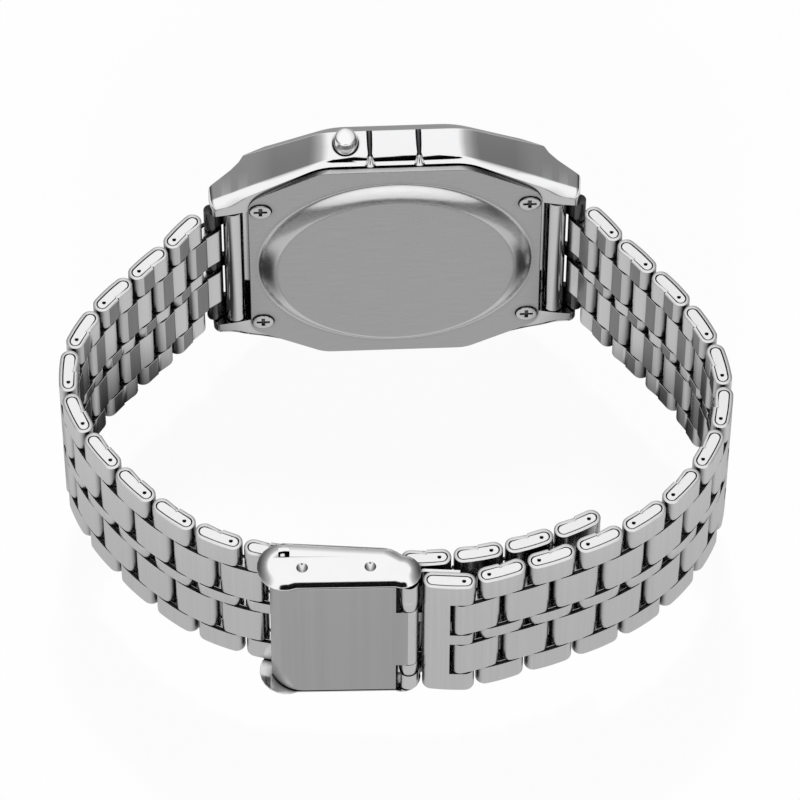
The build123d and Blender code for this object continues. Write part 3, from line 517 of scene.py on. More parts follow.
# Case body: machined steel, its walls polished to a mirror round a square pad between two grooves,
# and cut for the bracelet, the movement, the glass and the buttons. Each level is the first quarter
# of an outline, from the back to the front.
corner_bends = 6
corner_cuts = (0.3, 1.35, 1.2, 0.6, 0.6, 0.42)
back_levels = (
    ((2.3, 1.72, 15.06), (6.84, 1.72, 15.06), (12.2, 1.31, 12.21),
     (14.08, 1.06, 11.36), (15.27, 0.81, 10.46), (16.91, 0.61, 10.16)),
    ((2.3, 1.76, 15.16), (6.88, 1.76, 15.16), (12.26, 1.35, 12.31),
     (14.16, 1.1, 11.46), (15.35, 0.85, 10.56), (17, 0.65, 10.26)),
    ((2.3, 1.66, 15.2), (6.9, 1.66, 15.2), (12.3, 1.25, 12.35),
     (14.2, 1, 11.5), (15.4, 0.75, 10.6), (17.05, 0.55, 10.3)),
    ((2.3, 1.7, 15.25), (6.88, 1.7, 15.25), (12.3, 1.28, 12.4),
     (14.25, 1.04, 11.56), (15.45, 0.8, 10.7), (17.1, 0.6, 10.38)),
    ((2.3, 1.88, 15.4), (6.88, 1.92, 15.43), (12.3, 1.62, 12.76),
     (14.25, 1.38, 11.92), (15.6, 1.1, 11.12), (17.25, 0.88, 10.67)),
    ((2.3, 2.02, 15.54), (6.85, 2.08, 15.57), (12.3, 1.84, 12.97),
     (14.3, 1.62, 12.13), (15.8, 1.4, 11.47), (17.4, 1.2, 10.9)),
    ((2.3, 2.6, 15.85), (6.85, 2.2, 15.62), (12.3, 1.96, 13.02),
     (14.3, 1.74, 12.18), (15.85, 1.53, 11.51), (17.45, 1.34, 10.94)),
    ((2.3, 3.6, 16.05), (6.7, 3.6, 15.95), (12.3, 3.4, 13.35),
     (14.3, 3.35, 12.56), (15.9, 3.3, 11.93), (17.6, 3.2, 11.25)),
    ((2.3, 4.75, 16.28), (6.6, 4.75, 16.28), (12.3, 4.75, 13.74),
     (14.3, 4.75, 12.92), (15.9, 4.75, 12.26), (17.7, 4.75, 11.52)),
    ((2.3, 4.85, 16.31), (6.6, 4.85, 16.31), (12.3, 4.85, 13.77),
     (14.3, 4.85, 12.95), (15.9, 4.85, 12.29), (17.7, 4.85, 11.55)),
    ((2.3, 4.93, 16.25), (6.57, 4.93, 16.25), (12.27, 4.93, 13.71),
     (14.27, 4.93, 12.9), (15.86, 4.93, 12.24), (17.65, 4.93, 11.5)),
    ((2, 7.52, 13.36), (5.8, 7.52, 13.36), (11.4, 7.52, 10.87),
     (12.3, 7.52, 10.5), (13, 7.52, 10.2), (13.6, 7.52, 9.95)),
    ((2, 7.6, 13.2), (5.78, 7.6, 13.2), (11.35, 7.6, 10.75),
     (12.25, 7.6, 10.4), (12.9, 7.6, 10.1), (13.45, 7.6, 9.85)),
)
plate_start = half_width + row_gap
recess_start = 13.87
recess_roof = 3.4
lug_rise = (
    (12.0, 7.6), (13.6, 5.55), (14.6, 4.32), (15.4, 3.75), (16.3, 3.27), (17.1, 2.85),
    (17.5, 2.6), (17.75, 2.2),
)
past_lugs = 20.0
past_front = 9.0
groove_middle = 2.3
groove_line = (
    (1.2, 15.1, 0.6), (1.7, 15.3, 0.5), (2.1, 15.5, 0.34), (2.6, 15.66, 0.28), (5.4, 16.5, 0.28)
)
cavity = ((8.6, 12.1), (12.9, 7.6))
cavity_span = (0.2, 6.4)
window = ((6.6, 9.0), (9.8, 6.2))
window_start = 6.0
glass_corners = ((7.6, 10.2), (11.0, 7.2))
glass_seat = 7.0
button_x = 4.55
button_height = 3.7
button_radius = 1.15
button_gap = 0.12
seal_bore = 0.95
stem_bore = 0.55
button_places = (("adjust", -button_x, 1), ("light", button_x, -1), ("mode", -button_x, -1))


def rounded(corners, cuts, bends):
    """A closed line whose corners are drawn as parabolas: each starts and ends the cut's length
    from its corner, along the two sides, or just under half the shorter side if that is less."""
    into = np.roll(corners, 1, 0) - corners
    onward = np.roll(corners, -1, 0) - corners
    shorter = np.minimum(np.linalg.norm(into, axis=1), np.linalg.norm(onward, axis=1))
    cuts = np.minimum(np.asarray(cuts, float), 0.48 * shorter).reshape(-1, 1)
    start = corners + into / np.linalg.norm(into, axis=1)[:, None] * cuts
    end = corners + onward / np.linalg.norm(onward, axis=1)[:, None] * cuts
    share = np.linspace(0, 1, bends)[None, :, None]
    line = (1 - share) ** 2 * start[:, None] + 2 * share * (1 - share) * corners[:, None]
    return (line + share**2 * end[:, None]).reshape(-1, corners.shape[1])


def oblong(left, right, bottom, top):
    """The corners of a rectangle, counterclockwise."""
    return np.array(((left, bottom), (right, bottom), (right, top), (left, top)))


def all_round(quarter):
    """A closed outline from the corners of its first quarter, mirrored in X and in Z."""
    quarter = np.asarray(quarter, float)
    flip_x, flip_z = np.ones((2, quarter.shape[1]))
    flip_x[0] = flip_z[-1] = -1
    right = np.vstack((quarter, quarter[::-1] * flip_z))
    return np.vstack((right, right[::-1] * flip_x))


def prism(loop, low, high):
    """A prism along Z over an outline."""
    return capped([at_height(loop, height) for height in (low, high)])


def along_y(shape):
    """A shape drawn in X and Z along its own height, turned so that its height runs along Y."""
    points, faces = shape
    return points[:, (0, 2, 1)], [list(face)[::-1] for face in faces]


def prism_y(quarter, low, high):
    """A prism along Y over a mirrored outline."""
    return along_y(prism(all_round(quarter)[::-1], low, high))


def turned(profile, around):
    """A round shape about Z: a profile of radius and height carried round, closed by a flat face
    at each end."""
    loop = circle(1.0, around)
    return capped([at_height(loop * radius, height) for radius, height in profile])


def moved(shape, x, y):
    """A shape moved along X and Y."""
    return shape[0] + (x, y, 0), shape[1]


def outward(made):
    """Turn every face of a piece outwards."""
    work = bmesh.new()
    work.from_mesh(made.data)
    bmesh.ops.recalc_face_normals(work, faces=work.faces)
    work.to_mesh(made.data)
    work.free()


def carved(made, shapes, smooth=30.0):
    """Cut shapes out of a piece, one after another, and keep the result as its mesh. A shape may
    come with the number of the material that its cut gets."""
    outward(made)
    tools = []
    for shape in shapes:
        tool = piece("tool", [shape if isinstance(shape[1], int) else (shape, 0)], [], None)
        outward(tool)
        cut = made.modifiers.new("cut", "BOOLEAN")
        cut.solver = "EXACT"
        cut.object = tool
        tools.append(tool)
    settled = made.evaluated_get(bpy.context.evaluated_depsgraph_get())
    result = bpy.data.meshes.new_from_object(settled)
    made.modifiers.clear()
    made.data = result
    for tool in tools:
        bpy.data.objects.remove(tool)
    result.polygons.foreach_set("use_smooth", [True] * len(result.polygons))
    result.set_sharp_from_angle(angle=radians(smooth))
    result.update()


cuts = [*corner_cuts, *corner_cuts[::-1]] * 2
rings = [rounded(all_round(corners), cuts, corner_bends) for corners in back_levels]
case_points, case_quads = carry(rings)
count = len(rings[0])
last_ring = (len(rings) - 1) * count
case_faces = case_quads[:last_ring].tolist()
half_count = count // 2
for start, turn_round in ((0, 1), (last_ring, -1)):
    for spot in range(-half_count // 2, half_count // 2 - 1):
        quad = [spot, spot + 1, half_count - 2 - spot, half_count - 1 - spot]
        case_faces.append([start + corner % count for corner in quad][::turn_round])
case_chrome = steel("case_polished", (0.9, 0.9, 0.91), 0.06, (1, 1, 1), 400, 0.02, 0.0, 0.3)
case_bevel = steel("case_front_bevel", (0.13, 0.13, 0.14), 0.3, (0.05, 1, 1), 1500, 0.08, 0.05)
# painted shade: a dark steel for the flutes of the two grooves, where shade falls in them
case_groove_painted_shade = steel("case_groove_painted_shade", (0.16, 0.16, 0.17), 0.25, (1, 1, 1), 900, 0.1, 0.05)
case_set = [case_chrome, case_bevel, case_groove_painted_shade]
case_picks = np.zeros(len(case_faces), int)
front_bevel = slice(last_ring - 2 * count, last_ring - count)
case_picks[front_bevel] = case_set.index(case_bevel)
shell = (case_points, case_faces), case_picks.tolist()
case = piece("case_shell", [shell], case_set, "case")
tools = []
for end in (-1, 1):
    rise = [*lug_rise, (past_lugs, 2.2), (past_lugs, past_front), (lug_rise[0][0], past_front)]
    rise = np.array(rise) * (end, 1)
    tools.append(prism(rise, -past_lugs, past_lugs))
    box = oblong(recess_start, past_lugs, -1, recess_roof) * (end, 1)
    tools.append(prism(box, -plate_start, plate_start))
tools.append(prism_y(cavity, *cavity_span))
tools.append(prism_y(window, window_start, past_front))
tools.append(prism_y(glass_corners, glass_seat, past_front))
for middle in (-groove_middle, groove_middle):
    flare, flute = groove_line[:4], groove_line[3:]
    # the flute's cut faces get the groove's painted shade
    for part, finish in ((flare, case_chrome), (flute, case_groove_painted_shade)):
        grooves = [
            at_height(circle(radius, 16, (middle, wall))[::-1], height)
            for height, wall, radius in part
        ]
        tools.append((along_y(capped(grooves)), case_set.index(finish)))
bores = (
    (button_radius + button_gap, 13.9, 18.0), (stem_bore, 11.5, 14.2), (seal_bore, 11.5, 12.7)
)
for name, x, side in button_places:
    for radius, start, end in bores:
        bore = turned(((radius, side * start), (radius, side * end)), 32)
        tools.append(moved(bore, x, button_height))
carved(case, tools)
stand_for(case, "case_body")

# Back cover: a stainless plate, pressed up into a round boss, brushed along the watch. Its edge
# is bevelled and the boss's bevel is satin, and four screws hold it.
plate_corners = ((6.87, 15.05), (13.87, 10.85))
plate_cuts = (0.8, 1.5)
plate_edge = 0.07
cover_back = 1.0
cover_front = 1.5
boss_radius = 13.0
boss_top = 11.05
shoulder_width = 1.9
boss_height = 0.98
boss_around = 128
screw_x = 12.7
screw_z = 9.28
screw_head = 1.0
rim_gap = 0.12
screw_face = 0.8
neck = 0.56
screw_places = [(x, z) for x in (-screw_x, screw_x) for z in (-screw_z, screw_z)]
back_brushed = steel("back_brushed", (0.64, 0.64, 0.64), 0.28, (0.03, 1, 1), 9000, 0.12, 0.25)
boss_satin = steel("boss_bevel_satin", (0.95, 0.95, 0.95), 0.2, (0.3, 1, 1), 3000, 0.06, 0.06)
outline = rounded(all_round(plate_corners), (plate_cuts + plate_cuts[::-1]) * 2, 6)
plate = along_y(slab([outline[::-1]], cover_back, cover_front, plate_edge))
tools = [along_y(turned(((11.7, 0.9), (12.4, 1.4), (12.4, 1.7)), 96))]
pocket = screw_head + rim_gap
pocket = turned(((pocket, 0.9), (pocket, 1.24), (neck, 1.24), (neck, 1.7)), 28)
tools += [along_y(moved(pocket, x, z)) for x, z in screw_places]
cover = piece("back_cover_plate", [(plate, 0)], [back_brushed], "case")
carved(cover, tools)
stand_for(cover, "back_cover")
inside = [(2.0, 0.5), (11.3, 0.5), (12.45, cover_front)]
rim_line = [(boss_radius + rim_gap, height) for height in (cover_front, 0.99)]
shares = np.linspace(1, 0, 12)
shoulder = [(boss_top + shoulder_width * share, boss_height * share**1.6) for share in shares]
boss = along_y(turned([*inside, *rim_line, *shoulder, (2.0, 0.0)], boss_around))
boss_picks = np.zeros(len(boss[1]), int)
boss_picks[boss_around * len(inside) :][: boss_around * (len(shoulder) - 1)] = 1
boss = boss, boss_picks.tolist()
dome = piece("back_cover_boss", [boss], [back_brushed, boss_satin], "case", 50)
outward(dome)

# Back screws: four small steel screws with flat polished heads and a cross recess, screwed
# through the cover into the case.
cross_long = 0.62
cross_wide = 0.15
head_foot = 1.05
screw_steel = steel("screw_polished", (0.95, 0.95, 0.95), 0.14, (1, 1, 1), 2200, 0.12, 0.12)
# painted shade: the shank's dark end shows as the bottom of each cross recess
recess_painted_shade_steel = steel("screw_recess_steel", (0.2, 0.2, 0.2), 0.4, (1, 1, 1), 5000, 0.4, 0.3)
a, b = cross_long, cross_wide
arms = np.array(((a, -b), (a, b), (b, b)))
cross = np.vstack([arms @ turn for turn in (
    ((1, 0), (0, 1)), ((0, 1), (-1, 0)), ((-1, 0), (0, -1)), ((0, -1), (1, 0))
)])
shank = turned(((0.95, 1.0), (0.95, 1.25), (0.45, 1.25), (0.45, 3.7)), 24)
shapes = []
for x, z in screw_places:
    head = slab([circle(screw_head, 28), cross[::-1]], screw_face, head_foot, 0.07)
    shapes.append((along_y(moved(head, x, z)), 0))
    shapes.append((along_y(moved(shank, x, z)), 1))
screws = piece("back_screw_heads", shapes, [screw_steel, recess_painted_shade_steel], "case")
outward(screws)
stand_for(screws, "back_screws")

# Push buttons: turned steel heads, polished, with a tapered rim, on stems that run through seals.
# Each sits in its own bore in the wall with a narrow gap round it, and a ring holds it inside.
button_face = 17.2
button_foot = 15.3
stem_foot = 11.75
stem_radius = 0.5
button_steel = steel("button_polished", (0.95, 0.95, 0.95), 0.1, (1, 1, 1), 900, 0.04, 0.0)
rim_drops = ((0, 0.62), (0.02, 0.56), (0.13, 0.14), (0.17, 0.06), (0.24, 0.015), (0.34, 0))
head_line = [
    (stem_radius, stem_foot), (stem_radius, button_foot),
    (button_radius - 0.08, button_foot), (button_radius, button_foot + 0.08),
    *[(button_radius - draw, button_face - drop) for draw, drop in rim_drops],
    (0.3, button_face),
]
ring_line = ((0.4, 11.77), (0.85, 11.77), (0.85, 12.03), (0.4, 12.03))
for name, x, side in button_places:
    head, ring = (
        moved(turned(np.array(line) * (1, side), around), x, button_height)
        for line, around in ((head_line, 40), (ring_line, 20))
    )
    button = piece(f"button_{name}_turned", [(head, 0), (ring, 0)], [button_steel], f"push_{name}")
    outward(button)
    stand_for(button, f"button_{name}")

# Inside the case, from the glass inwards. The glass is clear and flat, the mask is printed black
# round its window, and the panel is grey with dark segments for plain digits.
glass, tree, shader = new_material("crystal_clear")
place = add_node(tree, "TexCoord")["Object"]
smear = add_node(tree, "TexNoise", {"Vector": place, "Scale": 220.0})["Fac"]
gloss = add_node(tree, "MapRange", {"Value": smear, "To Min": 0.0, "To Max": 0.04})["Result"]
feed(tree, shader, {
    "Base Color": (0.97, 0.98, 0.98, 1),
    "Transmission Weight": 1.0,
    "IOR": 1.45,
    "Roughness": gloss,
})


def moulded(name, colour, roughness, shade=0.12, scale=1200.0):
    """A plain moulded or coated finish, its colour and gloss moved a little by a fine noise, with
    the same painted shade in gaps as the steels.
    """
    made = steel(name, colour, roughness, (1, 1, 1), scale, shade, 0.08)
    made.node_tree.nodes["Principled BSDF"].inputs["Metallic"].default_value = 0.0
    return made


finishes = {
    "crystal": glass,
    "dial_mask": moulded("mask_printed", (0.03, 0.03, 0.035), 0.35),
    "lcd_panel": moulded("panel_grey", (0.5, 0.53, 0.47), 0.3, 0.05),
    "light_guide": moulded("guide_clear", (0.75, 0.77, 0.72), 0.2, 0.05),
    "contact_strips": moulded("contact_silicone", (0.32, 0.3, 0.29), 0.6),
    "module_frame": moulded("module_moulded", (0.06, 0.06, 0.06), 0.5),
    "circuit_board": moulded("board_resist", (0.05, 0.2, 0.1), 0.4, 0.2, 700.0),
    "battery_holder": moulded("holder_moulded", (0.07, 0.07, 0.07), 0.5),
    "battery": steel("cell_steel", (0.7, 0.7, 0.7), 0.28, (0.02, 1, 1), 2200, 0.08, 0.1),
    "battery_clip": steel("clip_steel", (0.68, 0.68, 0.67), 0.25, (1, 1, 0.02), 2200, 0.08, 0.1),
    "alarm_disc": steel("alarm_brass", (0.76, 0.6, 0.3), 0.3, (1, 1, 1), 1500, 0.1, 0.05),
    "alarm_spring": steel("spring_steel", (0.7, 0.68, 0.64), 0.25, (1, 1, 1), 1500, 0.08, 0.05),
    "back_gasket": moulded("gasket_rubber", (0.035, 0.035, 0.035), 0.7),
    "button_springs": steel(
        "button_spring_steel", (0.66, 0.66, 0.66), 0.25, (1, 1, 0.1), 1500, 0.1, 0.05
    ),
    "button_seals": moulded("seal_rubber", (0.04, 0.04, 0.04), 0.65),
}
for node, finish in finishes.items():
    solid = frame["nodes"][node]
    solid.data.materials.clear()
    solid.data.materials.append(finish)

# The panel's digits: seven flat segments each, two pairs either side of a colon, printed dark.
# They are seen from the front with 12 o'clock up and 3 o'clock to the right.
digit_height = 3.6
digit_width = 1.6
digit_pitch = 2.35
digit_places = (-1.62, -0.62, 0.62, 1.62)
segment = 0.34
segment_gap = 0.07
colon_rise = 0.7
colon_dot = 0.2
panel_face = 6.21
print_height = 0.03
print_edge = 0.01
digit_segments = ("bc", "abdeg", "acdfg", "abcdefg")
segment_ink = moulded("segment_ink", (0.05, 0.055, 0.06), 0.4)


def bar_shape(start, end):
    """A flat segment with pointed ends between two points."""
    ahead = (end - start) / np.linalg.norm(end - start)
    aside = np.array((-ahead[1], ahead[0])) * segment / 2
    ends = (start + ahead * segment_gap, end - ahead * segment_gap)
    a, b = ends[0] + ahead * segment / 2, ends[1] - ahead * segment / 2
    return np.array((ends[0], a - aside, b - aside, ends[1], b + aside, a + aside))


def printed(loop):
    """A thin print on the panel over an outline in Z and X."""
    points, faces = slab([loop], panel_face, panel_face + print_height, print_edge, 1)
    return (points[:, (1, 2, 0)], [face[::-1] for face in faces]), 0


def flat_piece(name, shapes, finish):
    """A print in the case, from flat shapes."""
    made = piece(name, shapes, [finish], "case")
    outward(made)
    even(made)


def counterclockwise(loop):
    """The loop in the order that runs counterclockwise."""
    x, y = loop[:, 0], loop[:, 1]
    area = np.sum(x * np.roll(y, -1) - y * np.roll(x, -1))
    return loop if area > 0 else loop[::-1]


shapes = []
spots = {
    "a": ((-1, 1), (1, 1)), "b": ((1, 0), (1, 1)), "c": ((1, -1), (1, 0)), "d": ((-1, -1), (1, -1)),
    "e": ((-1, -1), (-1, 0)), "f": ((-1, 0), (-1, 1)), "g": ((-1, 0), (1, 0)),
}
for place, lit in zip(digit_places, digit_segments):
    for letter in lit:
        start, end = np.array(spots[letter]) * (digit_width / 2, digit_height / 2)
        shift = place * digit_pitch, 0
        shapes.append(printed(bar_shape(start + shift, end + shift)))
for rise in (-colon_rise, colon_rise):
    shapes.append(printed(circle(colon_dot, 12, (0.0, rise))))
flat_piece("panel_digits", shapes, segment_ink)

# Printed border of the panel: a dark field printed above and below the digits, which leaves a wide
# window between them, as on such a dial.
border_half = 5.19
border_inner = 3.1
border_outer = 8.79
field = oblong(-border_half, border_half, border_inner, border_outer)
shapes = [printed(counterclockwise(field * (1, side))) for side in (-1, 1)]
flat_piece("panel_border", shapes, finishes["dial_mask"])

# Clasp body: a deck of polished sheet with a dished plate bent in from each edge, which grips the
# end of the bracelet, and a knuckle at each side of its pin. Each plate has a square hole for the
# lock pin and two dimples. Outlines run along the deck from the pin.
plate_sheet = 0.5
plate_dish = (1.05, 0.37)
sheet = 0.4
deck_outer = 0.7
deck_left = -11.6
deck_right = -0.8
knuckle_half = 6.5
tongue_half = 4.65
knuckle_gap = 0.1
knuckle_outer = 0.9
knuckle_bore = 0.55
held_pin = Vector(left_pins[2 * clasp_link - 2] - clasp_pin)
held_pin = Matrix.Rotation(-radians(clasp_heading), 2) @ held_pin
lock_hole = 0.95
lock_corner = 0.08
lock_bar = 0.6
lock_shift = (0.2, -0.5)
dimples = ((-9.7, 1.1), (-3.5, 1.1))
dimple_line = ((0.05, -0.16), (0.2, -0.15), (0.36, -0.11), (0.48, -0.05), (0.56, 0.02), (0.56, 0.3))
clasp_polished = steel("clasp_polished", (0.92, 0.92, 0.92), 0.1, (1, 1, 1), 500, 0.03, 0.01)


def arc_through(start, middle, end, steps):
    """Points of the arc from one point over a second to a third, the two ends included."""
    (ax, ay), (bx, by), (cx, cy) = start, middle, end
    double = 2 * (ax * (by - cy) + bx * (cy - ay) + cx * (ay - by))
    squares = (ax * ax + ay * ay, bx * bx + by * by, cx * cx + cy * cy)
    x = (squares[0] * (by - cy) + squares[1] * (cy - ay) + squares[2] * (ay - by)) / double
    y = (squares[0] * (cx - bx) + squares[1] * (ax - cx) + squares[2] * (bx - ax)) / double
    first, passing, last = (atan2(v - y, u - x) for u, v in (start, middle, end))
    sweep = (last - first) % (2 * pi)
    if (passing - first) % (2 * pi) > sweep:
        sweep -= 2 * pi
    turn = first + np.linspace(0, sweep, steps)
    radius = hypot(ax - x, ay - y)
    return np.c_[x + radius * np.cos(turn), y + radius * np.sin(turn)]


def on_clasp(shape, pick=0):
    """A shape set at the clasp pin and turned along the clasp, with its finish."""
    return placed(shape, clasp_pin, clasp_heading), pick


def sheet_part(loop, low, high, edge, bends=2):
    """A part of the clasp over one outline, with its finish."""
    return on_clasp(slab([counterclockwise(np.array(loop))], low, high, edge, bends))


plate_right = arc_through((-0.5, 2.5), (1.1, 1.2), (-1.3, -0.85), 12)
plate_left = arc_through((-10.3, -0.85), (-13.8, 1.9), (-11.4, 4.0), 14)
plate_top = ((-11.0, 3.98), (-2.2, 3.32), (-1.6, 3.2), (-1.1, 2.92))
plate_line = counterclockwise(np.vstack((plate_right, plate_left, plate_top)))
lock_spot = np.array(held_pin) + lock_shift
square = oblong(-1, 1, -1, 1) * lock_hole / 2 + lock_spot
plate_face = plate_start + plate_sheet
edge_bands = 5
hole_line = rounded(square, [lock_corner] * 4, 4)[::-1]
shapes, tools = [], []
for side in (-1, 1):
    points, faces = slab([plate_line, hole_line], plate_start, plate_face, 0.04, 2, plate_dish)
    plate = points * (1, 1, side), [list(face)[::side] for face in faces]
    # the bands round the outline come first in the faces, then those of the hole's sides, which get
    # painted shade
    picks = np.zeros(len(faces), int)
    picks[(edge_bands + dish_steps) * len(plate_line) :][: edge_bands * len(hole_line)] = 1
    shapes.append(on_clasp(plate, picks.tolist()))
    cup = turned((dimple_line + np.array((0, plate_face))) * (1, side), 24)
    tools += [on_clasp(moved(cup, x, y))[0] for x, y in dimples]
deck = oblong(deck_left, deck_right, deck_outer, deck_outer + sheet)
shapes.append(sheet_part(deck, -plate_start - 0.1, plate_start + 0.1, 0.05))
arm = ((-1.6, 0.0), (-0.1, -0.1), (-0.1, 0.15), (-1.6, sheet - 0.05))
arm = np.array(arm) + (0, deck_outer)
knuckle = hoop(knuckle_outer, knuckle_bore, 24)
for side in (-1, 1):
    low, high = sorted((side * knuckle_half, side * (tongue_half + knuckle_gap)))
    shapes.append(on_clasp(slab(knuckle, low, high, 0.06)))
    shapes.append(sheet_part(arm, low, high, 0.04))
clasp = piece("clasp_deck_and_plates", shapes, [clasp_polished, gap_painted_shade_steel], "clasp")
carved(clasp, tools, 40)
stand_for(clasp, "clasp_body")

# Clasp pin and lock pins: drawn steel. The lock pins are the ends of the bar that ties the clasp to
# the bracelet, filed square and shown as a bright bar in each square hole. Round each bar a dark
# square, a little larger than the hole, is painted shade in the hole.
rod_radius, rod_half, rod_edge = 0.5, 8.9, 0.08
lock_sink = 0.2
painted_shade_share = 1.3
clasp_rod = placed(rod(rod_radius, -rod_half, rod_half, rod_edge, 24), clasp_pin, 0)
pin_of_clasp = piece("clasp_pin_drawn", [(clasp_rod, 0)], [pin_steel], "clasp")
stand_for(pin_of_clasp, "clasp_pin")
bar = oblong(-0.6, 0.15, -0.5, 0.5) * lock_bar + lock_spot
painted_shade_square = (square - lock_spot) * painted_shade_share + lock_spot
shapes = []
for side in (-1, 1):
    low, high = sorted((side * (half_width - lock_sink), side * (plate_face - lock_sink)))
    shapes.append(on_clasp(slab([bar], low, high, 0.05)))
    # a dark square behind the hole: painted shade round the lock bar
    low, high = sorted((side * (plate_start + 0.02), side * (plate_start - 0.1)))
    shapes.append(on_clasp(slab([counterclockwise(painted_shade_square)], low, high, 0.02), 1))
locks = piece("lock_pin_ends", shapes, [link_ends, gap_painted_shade_steel], "clasp")
stand_for(locks, "lock_pins")

# Clasp cover: one sheet, brushed along the bracelet's width, curled over at its free end, with a
# flange at each edge and a tongue rolled round the clasp pin.
cover_face = -0.85
cover_half = half_width + 0.03
cover_right = -1.2
curl_radius = 3.2
curl_turn = 70.0
curl_x = -12.9 + curl_radius
turn = np.radians(np.linspace(0, curl_turn, 12))
curl_way = np.c_[np.sin(turn), np.cos(turn)]
curl_middle = np.array((curl_x, cover_face + curl_radius))
outer_curl = curl_middle - curl_radius * curl_way
inner_curl = curl_middle - (curl_radius - sheet) * curl_way
cover_inner = cover_face + sheet
sheet_end = ((cover_right, cover_inner), (cover_right, cover_face))
sheet_line = np.vstack((outer_curl, inner_curl[::-1], sheet_end))
shapes = [sheet_part(sheet_line, -cover_half, cover_half, 0.12, 4)]
flange = oblong(-10.2, -1.6, cover_face + 0.1, 0.6)
for low in (-cover_half, cover_half - sheet):
    shapes.append(sheet_part(flange, low + 0.02, low + sheet - 0.02, 0.05))
roll = hoop(knuckle_outer, knuckle_bore, 28)
shapes.append(on_clasp(slab(roll, -tongue_half, tongue_half, 0.06), 1))
lip = (
    (cover_right - 0.3, cover_face), (-0.1, cover_face - 0.04),
    (-0.1, cover_face + 0.3), (cover_right - 0.3, cover_inner),
)
shapes.append(sheet_part(lip, -tongue_half, tongue_half, 0.04))
cover_brushed = steel("cover_brushed", (0.58, 0.58, 0.58), 0.25, (1, 1, 0.006), 900, 0.12, 0.06)
flap = piece("clasp_cover_sheet", shapes, [cover_brushed, link_ends], "cover")
outward(flap)
stand_for(flap, "clasp_cover")

# Clasp end link: one strip folded across the whole width, notched for the last two wide links,
# its edges folded in rings. It carries the hook.
end_near = (link_length - pin_spacing) / 2
end_far = hook_reach - knuckle_outer - 0.35


def on_end(shape):
    """A shape set at the last pin of the bracelet and turned along the end link."""
    return placed(shape, right_pins[-1], last_heading)


skin = on_end(tube(-end_far, end_near, -half_width, half_width))
end_link = piece("clasp_end_link_folded", [(skin, 0)], [link_faces, link_ends], "clasp_end")
notch_end, notch_deep = 3.0, 1.3
notch = oblong(-end_near - 0.1, notch_end, -notch_deep, notch_deep)
carved(end_link, [
    on_end(prism(notch, low - row_gap, high + row_gap)) for low, high in short_rows
])
leaf_width = 0.35
leaf_lines = [folded_outline(-end_far, end_near, strip + leaf_gap), circle(pin_hole, 12)[::-1]]
leaves = piece("clasp_end_link_leaves", [
    (on_end(slab(leaf_lines, low, low + leaf_width, leaf_edge, 1)), 0)
    for low in (-half_width + 0.05, half_width - leaf_width - 0.05)
], [link_ends], "clasp_end")
outward(leaves)
even(leaves)
stand_for(end_link, "clasp_end_link")

# Clasp hook: stamped polished sheet, soldered under the end link, its two arms curled round the
# clasp pin.
hook = frame["nodes"]["clasp_hook"]
hook.data.materials.clear()
hook.data.materials.append(clasp_polished)

# Pale floor under the watch's lowest point, of white paper that keeps the watch's shadow. It shows
# nearly white to the camera. The metal sees it with a painted shadow: grey near the watch and
# lighter further off, with a painted dark shadow spot out to the left and right of the case's back.
floor_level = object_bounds()[0][2]
floor_half = 2.0
floor_shown = 0.95
near_middle = (0, -0.02, floor_level)
near_edge, far_edge, near_painted_shadow_level, far_light = 0.036, 0.075, 0.52, 0.8
spot_middle = (0.026, 0.005, -floor_level)
spot_edge, spot_end, spot_painted_shadow_level = 0.006, 0.013, 0.05
mesh = bpy.data.meshes.new("floor")
sheet_line = at_height(oblong(-1, 1, -1, 1) * floor_half, floor_level)
mesh.from_pydata(sheet_line.tolist(), [], [(0, 1, 2, 3)])
floor = bpy.data.objects.new("floor", mesh)
scene.collection.objects.link(floor)
paper, tree, shader = new_material("floor_paper")
feed(tree, shader, {
    "Base Color": (0.75, 0.75, 0.75, 1), "Roughness": 0.9, "Specular IOR Level": 0.0,
})
place = add_node(tree, "TexCoord")["Object"]
rays = add_node(tree, "LightPath")
away = add_node(tree, "VectorMath", {0: place, 1: near_middle}, operation="DISTANCE")["Value"]
# painted shadow in the floor's reflection: darker near the watch, lighter further off
spread = add_node(tree, "MapRange", {
    "Value": away, "From Min": near_edge, "From Max": far_edge,
    "To Min": near_painted_shadow_level, "To Max": far_light,
})["Result"]
mirrored = add_node(tree, "VectorMath", {0: place}, operation="ABSOLUTE")["Vector"]
beside = add_node(tree, "VectorMath", {0: mirrored, 1: spot_middle}, operation="DISTANCE")["Value"]
# painted shadow: a dark spot in the floor's reflection to each side of the case's back
shade = add_node(tree, "MapRange", {
    "Value": beside, "From Min": spot_edge, "From Max": spot_end, "To Min": spot_painted_shadow_level,
})["Result"]
both = add_node(tree, "Math", {0: spread, 1: shade}, operation="MULTIPLY")["Value"]
bright = add_node(tree, "Math", {0: both, 1: rays["Is Camera Ray"]}, operation="MAXIMUM")["Value"]
glow = add_node(tree, "Emission", {"Strength": bright})["Emission"]
seen = add_node(tree, "Math", {0: rays["Is Camera Ray"], 1: floor_shown}, operation="MULTIPLY")
metal = add_node(tree, "Math", {0: rays["Is Glossy Ray"], 1: seen["Value"]}, operation="ADD")
mixed = {"Fac": metal["Value"], 1: shader.outputs["BSDF"], 2: glow}
surface = add_node(tree, "MixShader", mixed)["Shader"]
feed(tree, tree.nodes["Material Output"], {"Surface": surface})
mesh.materials.append(paper)

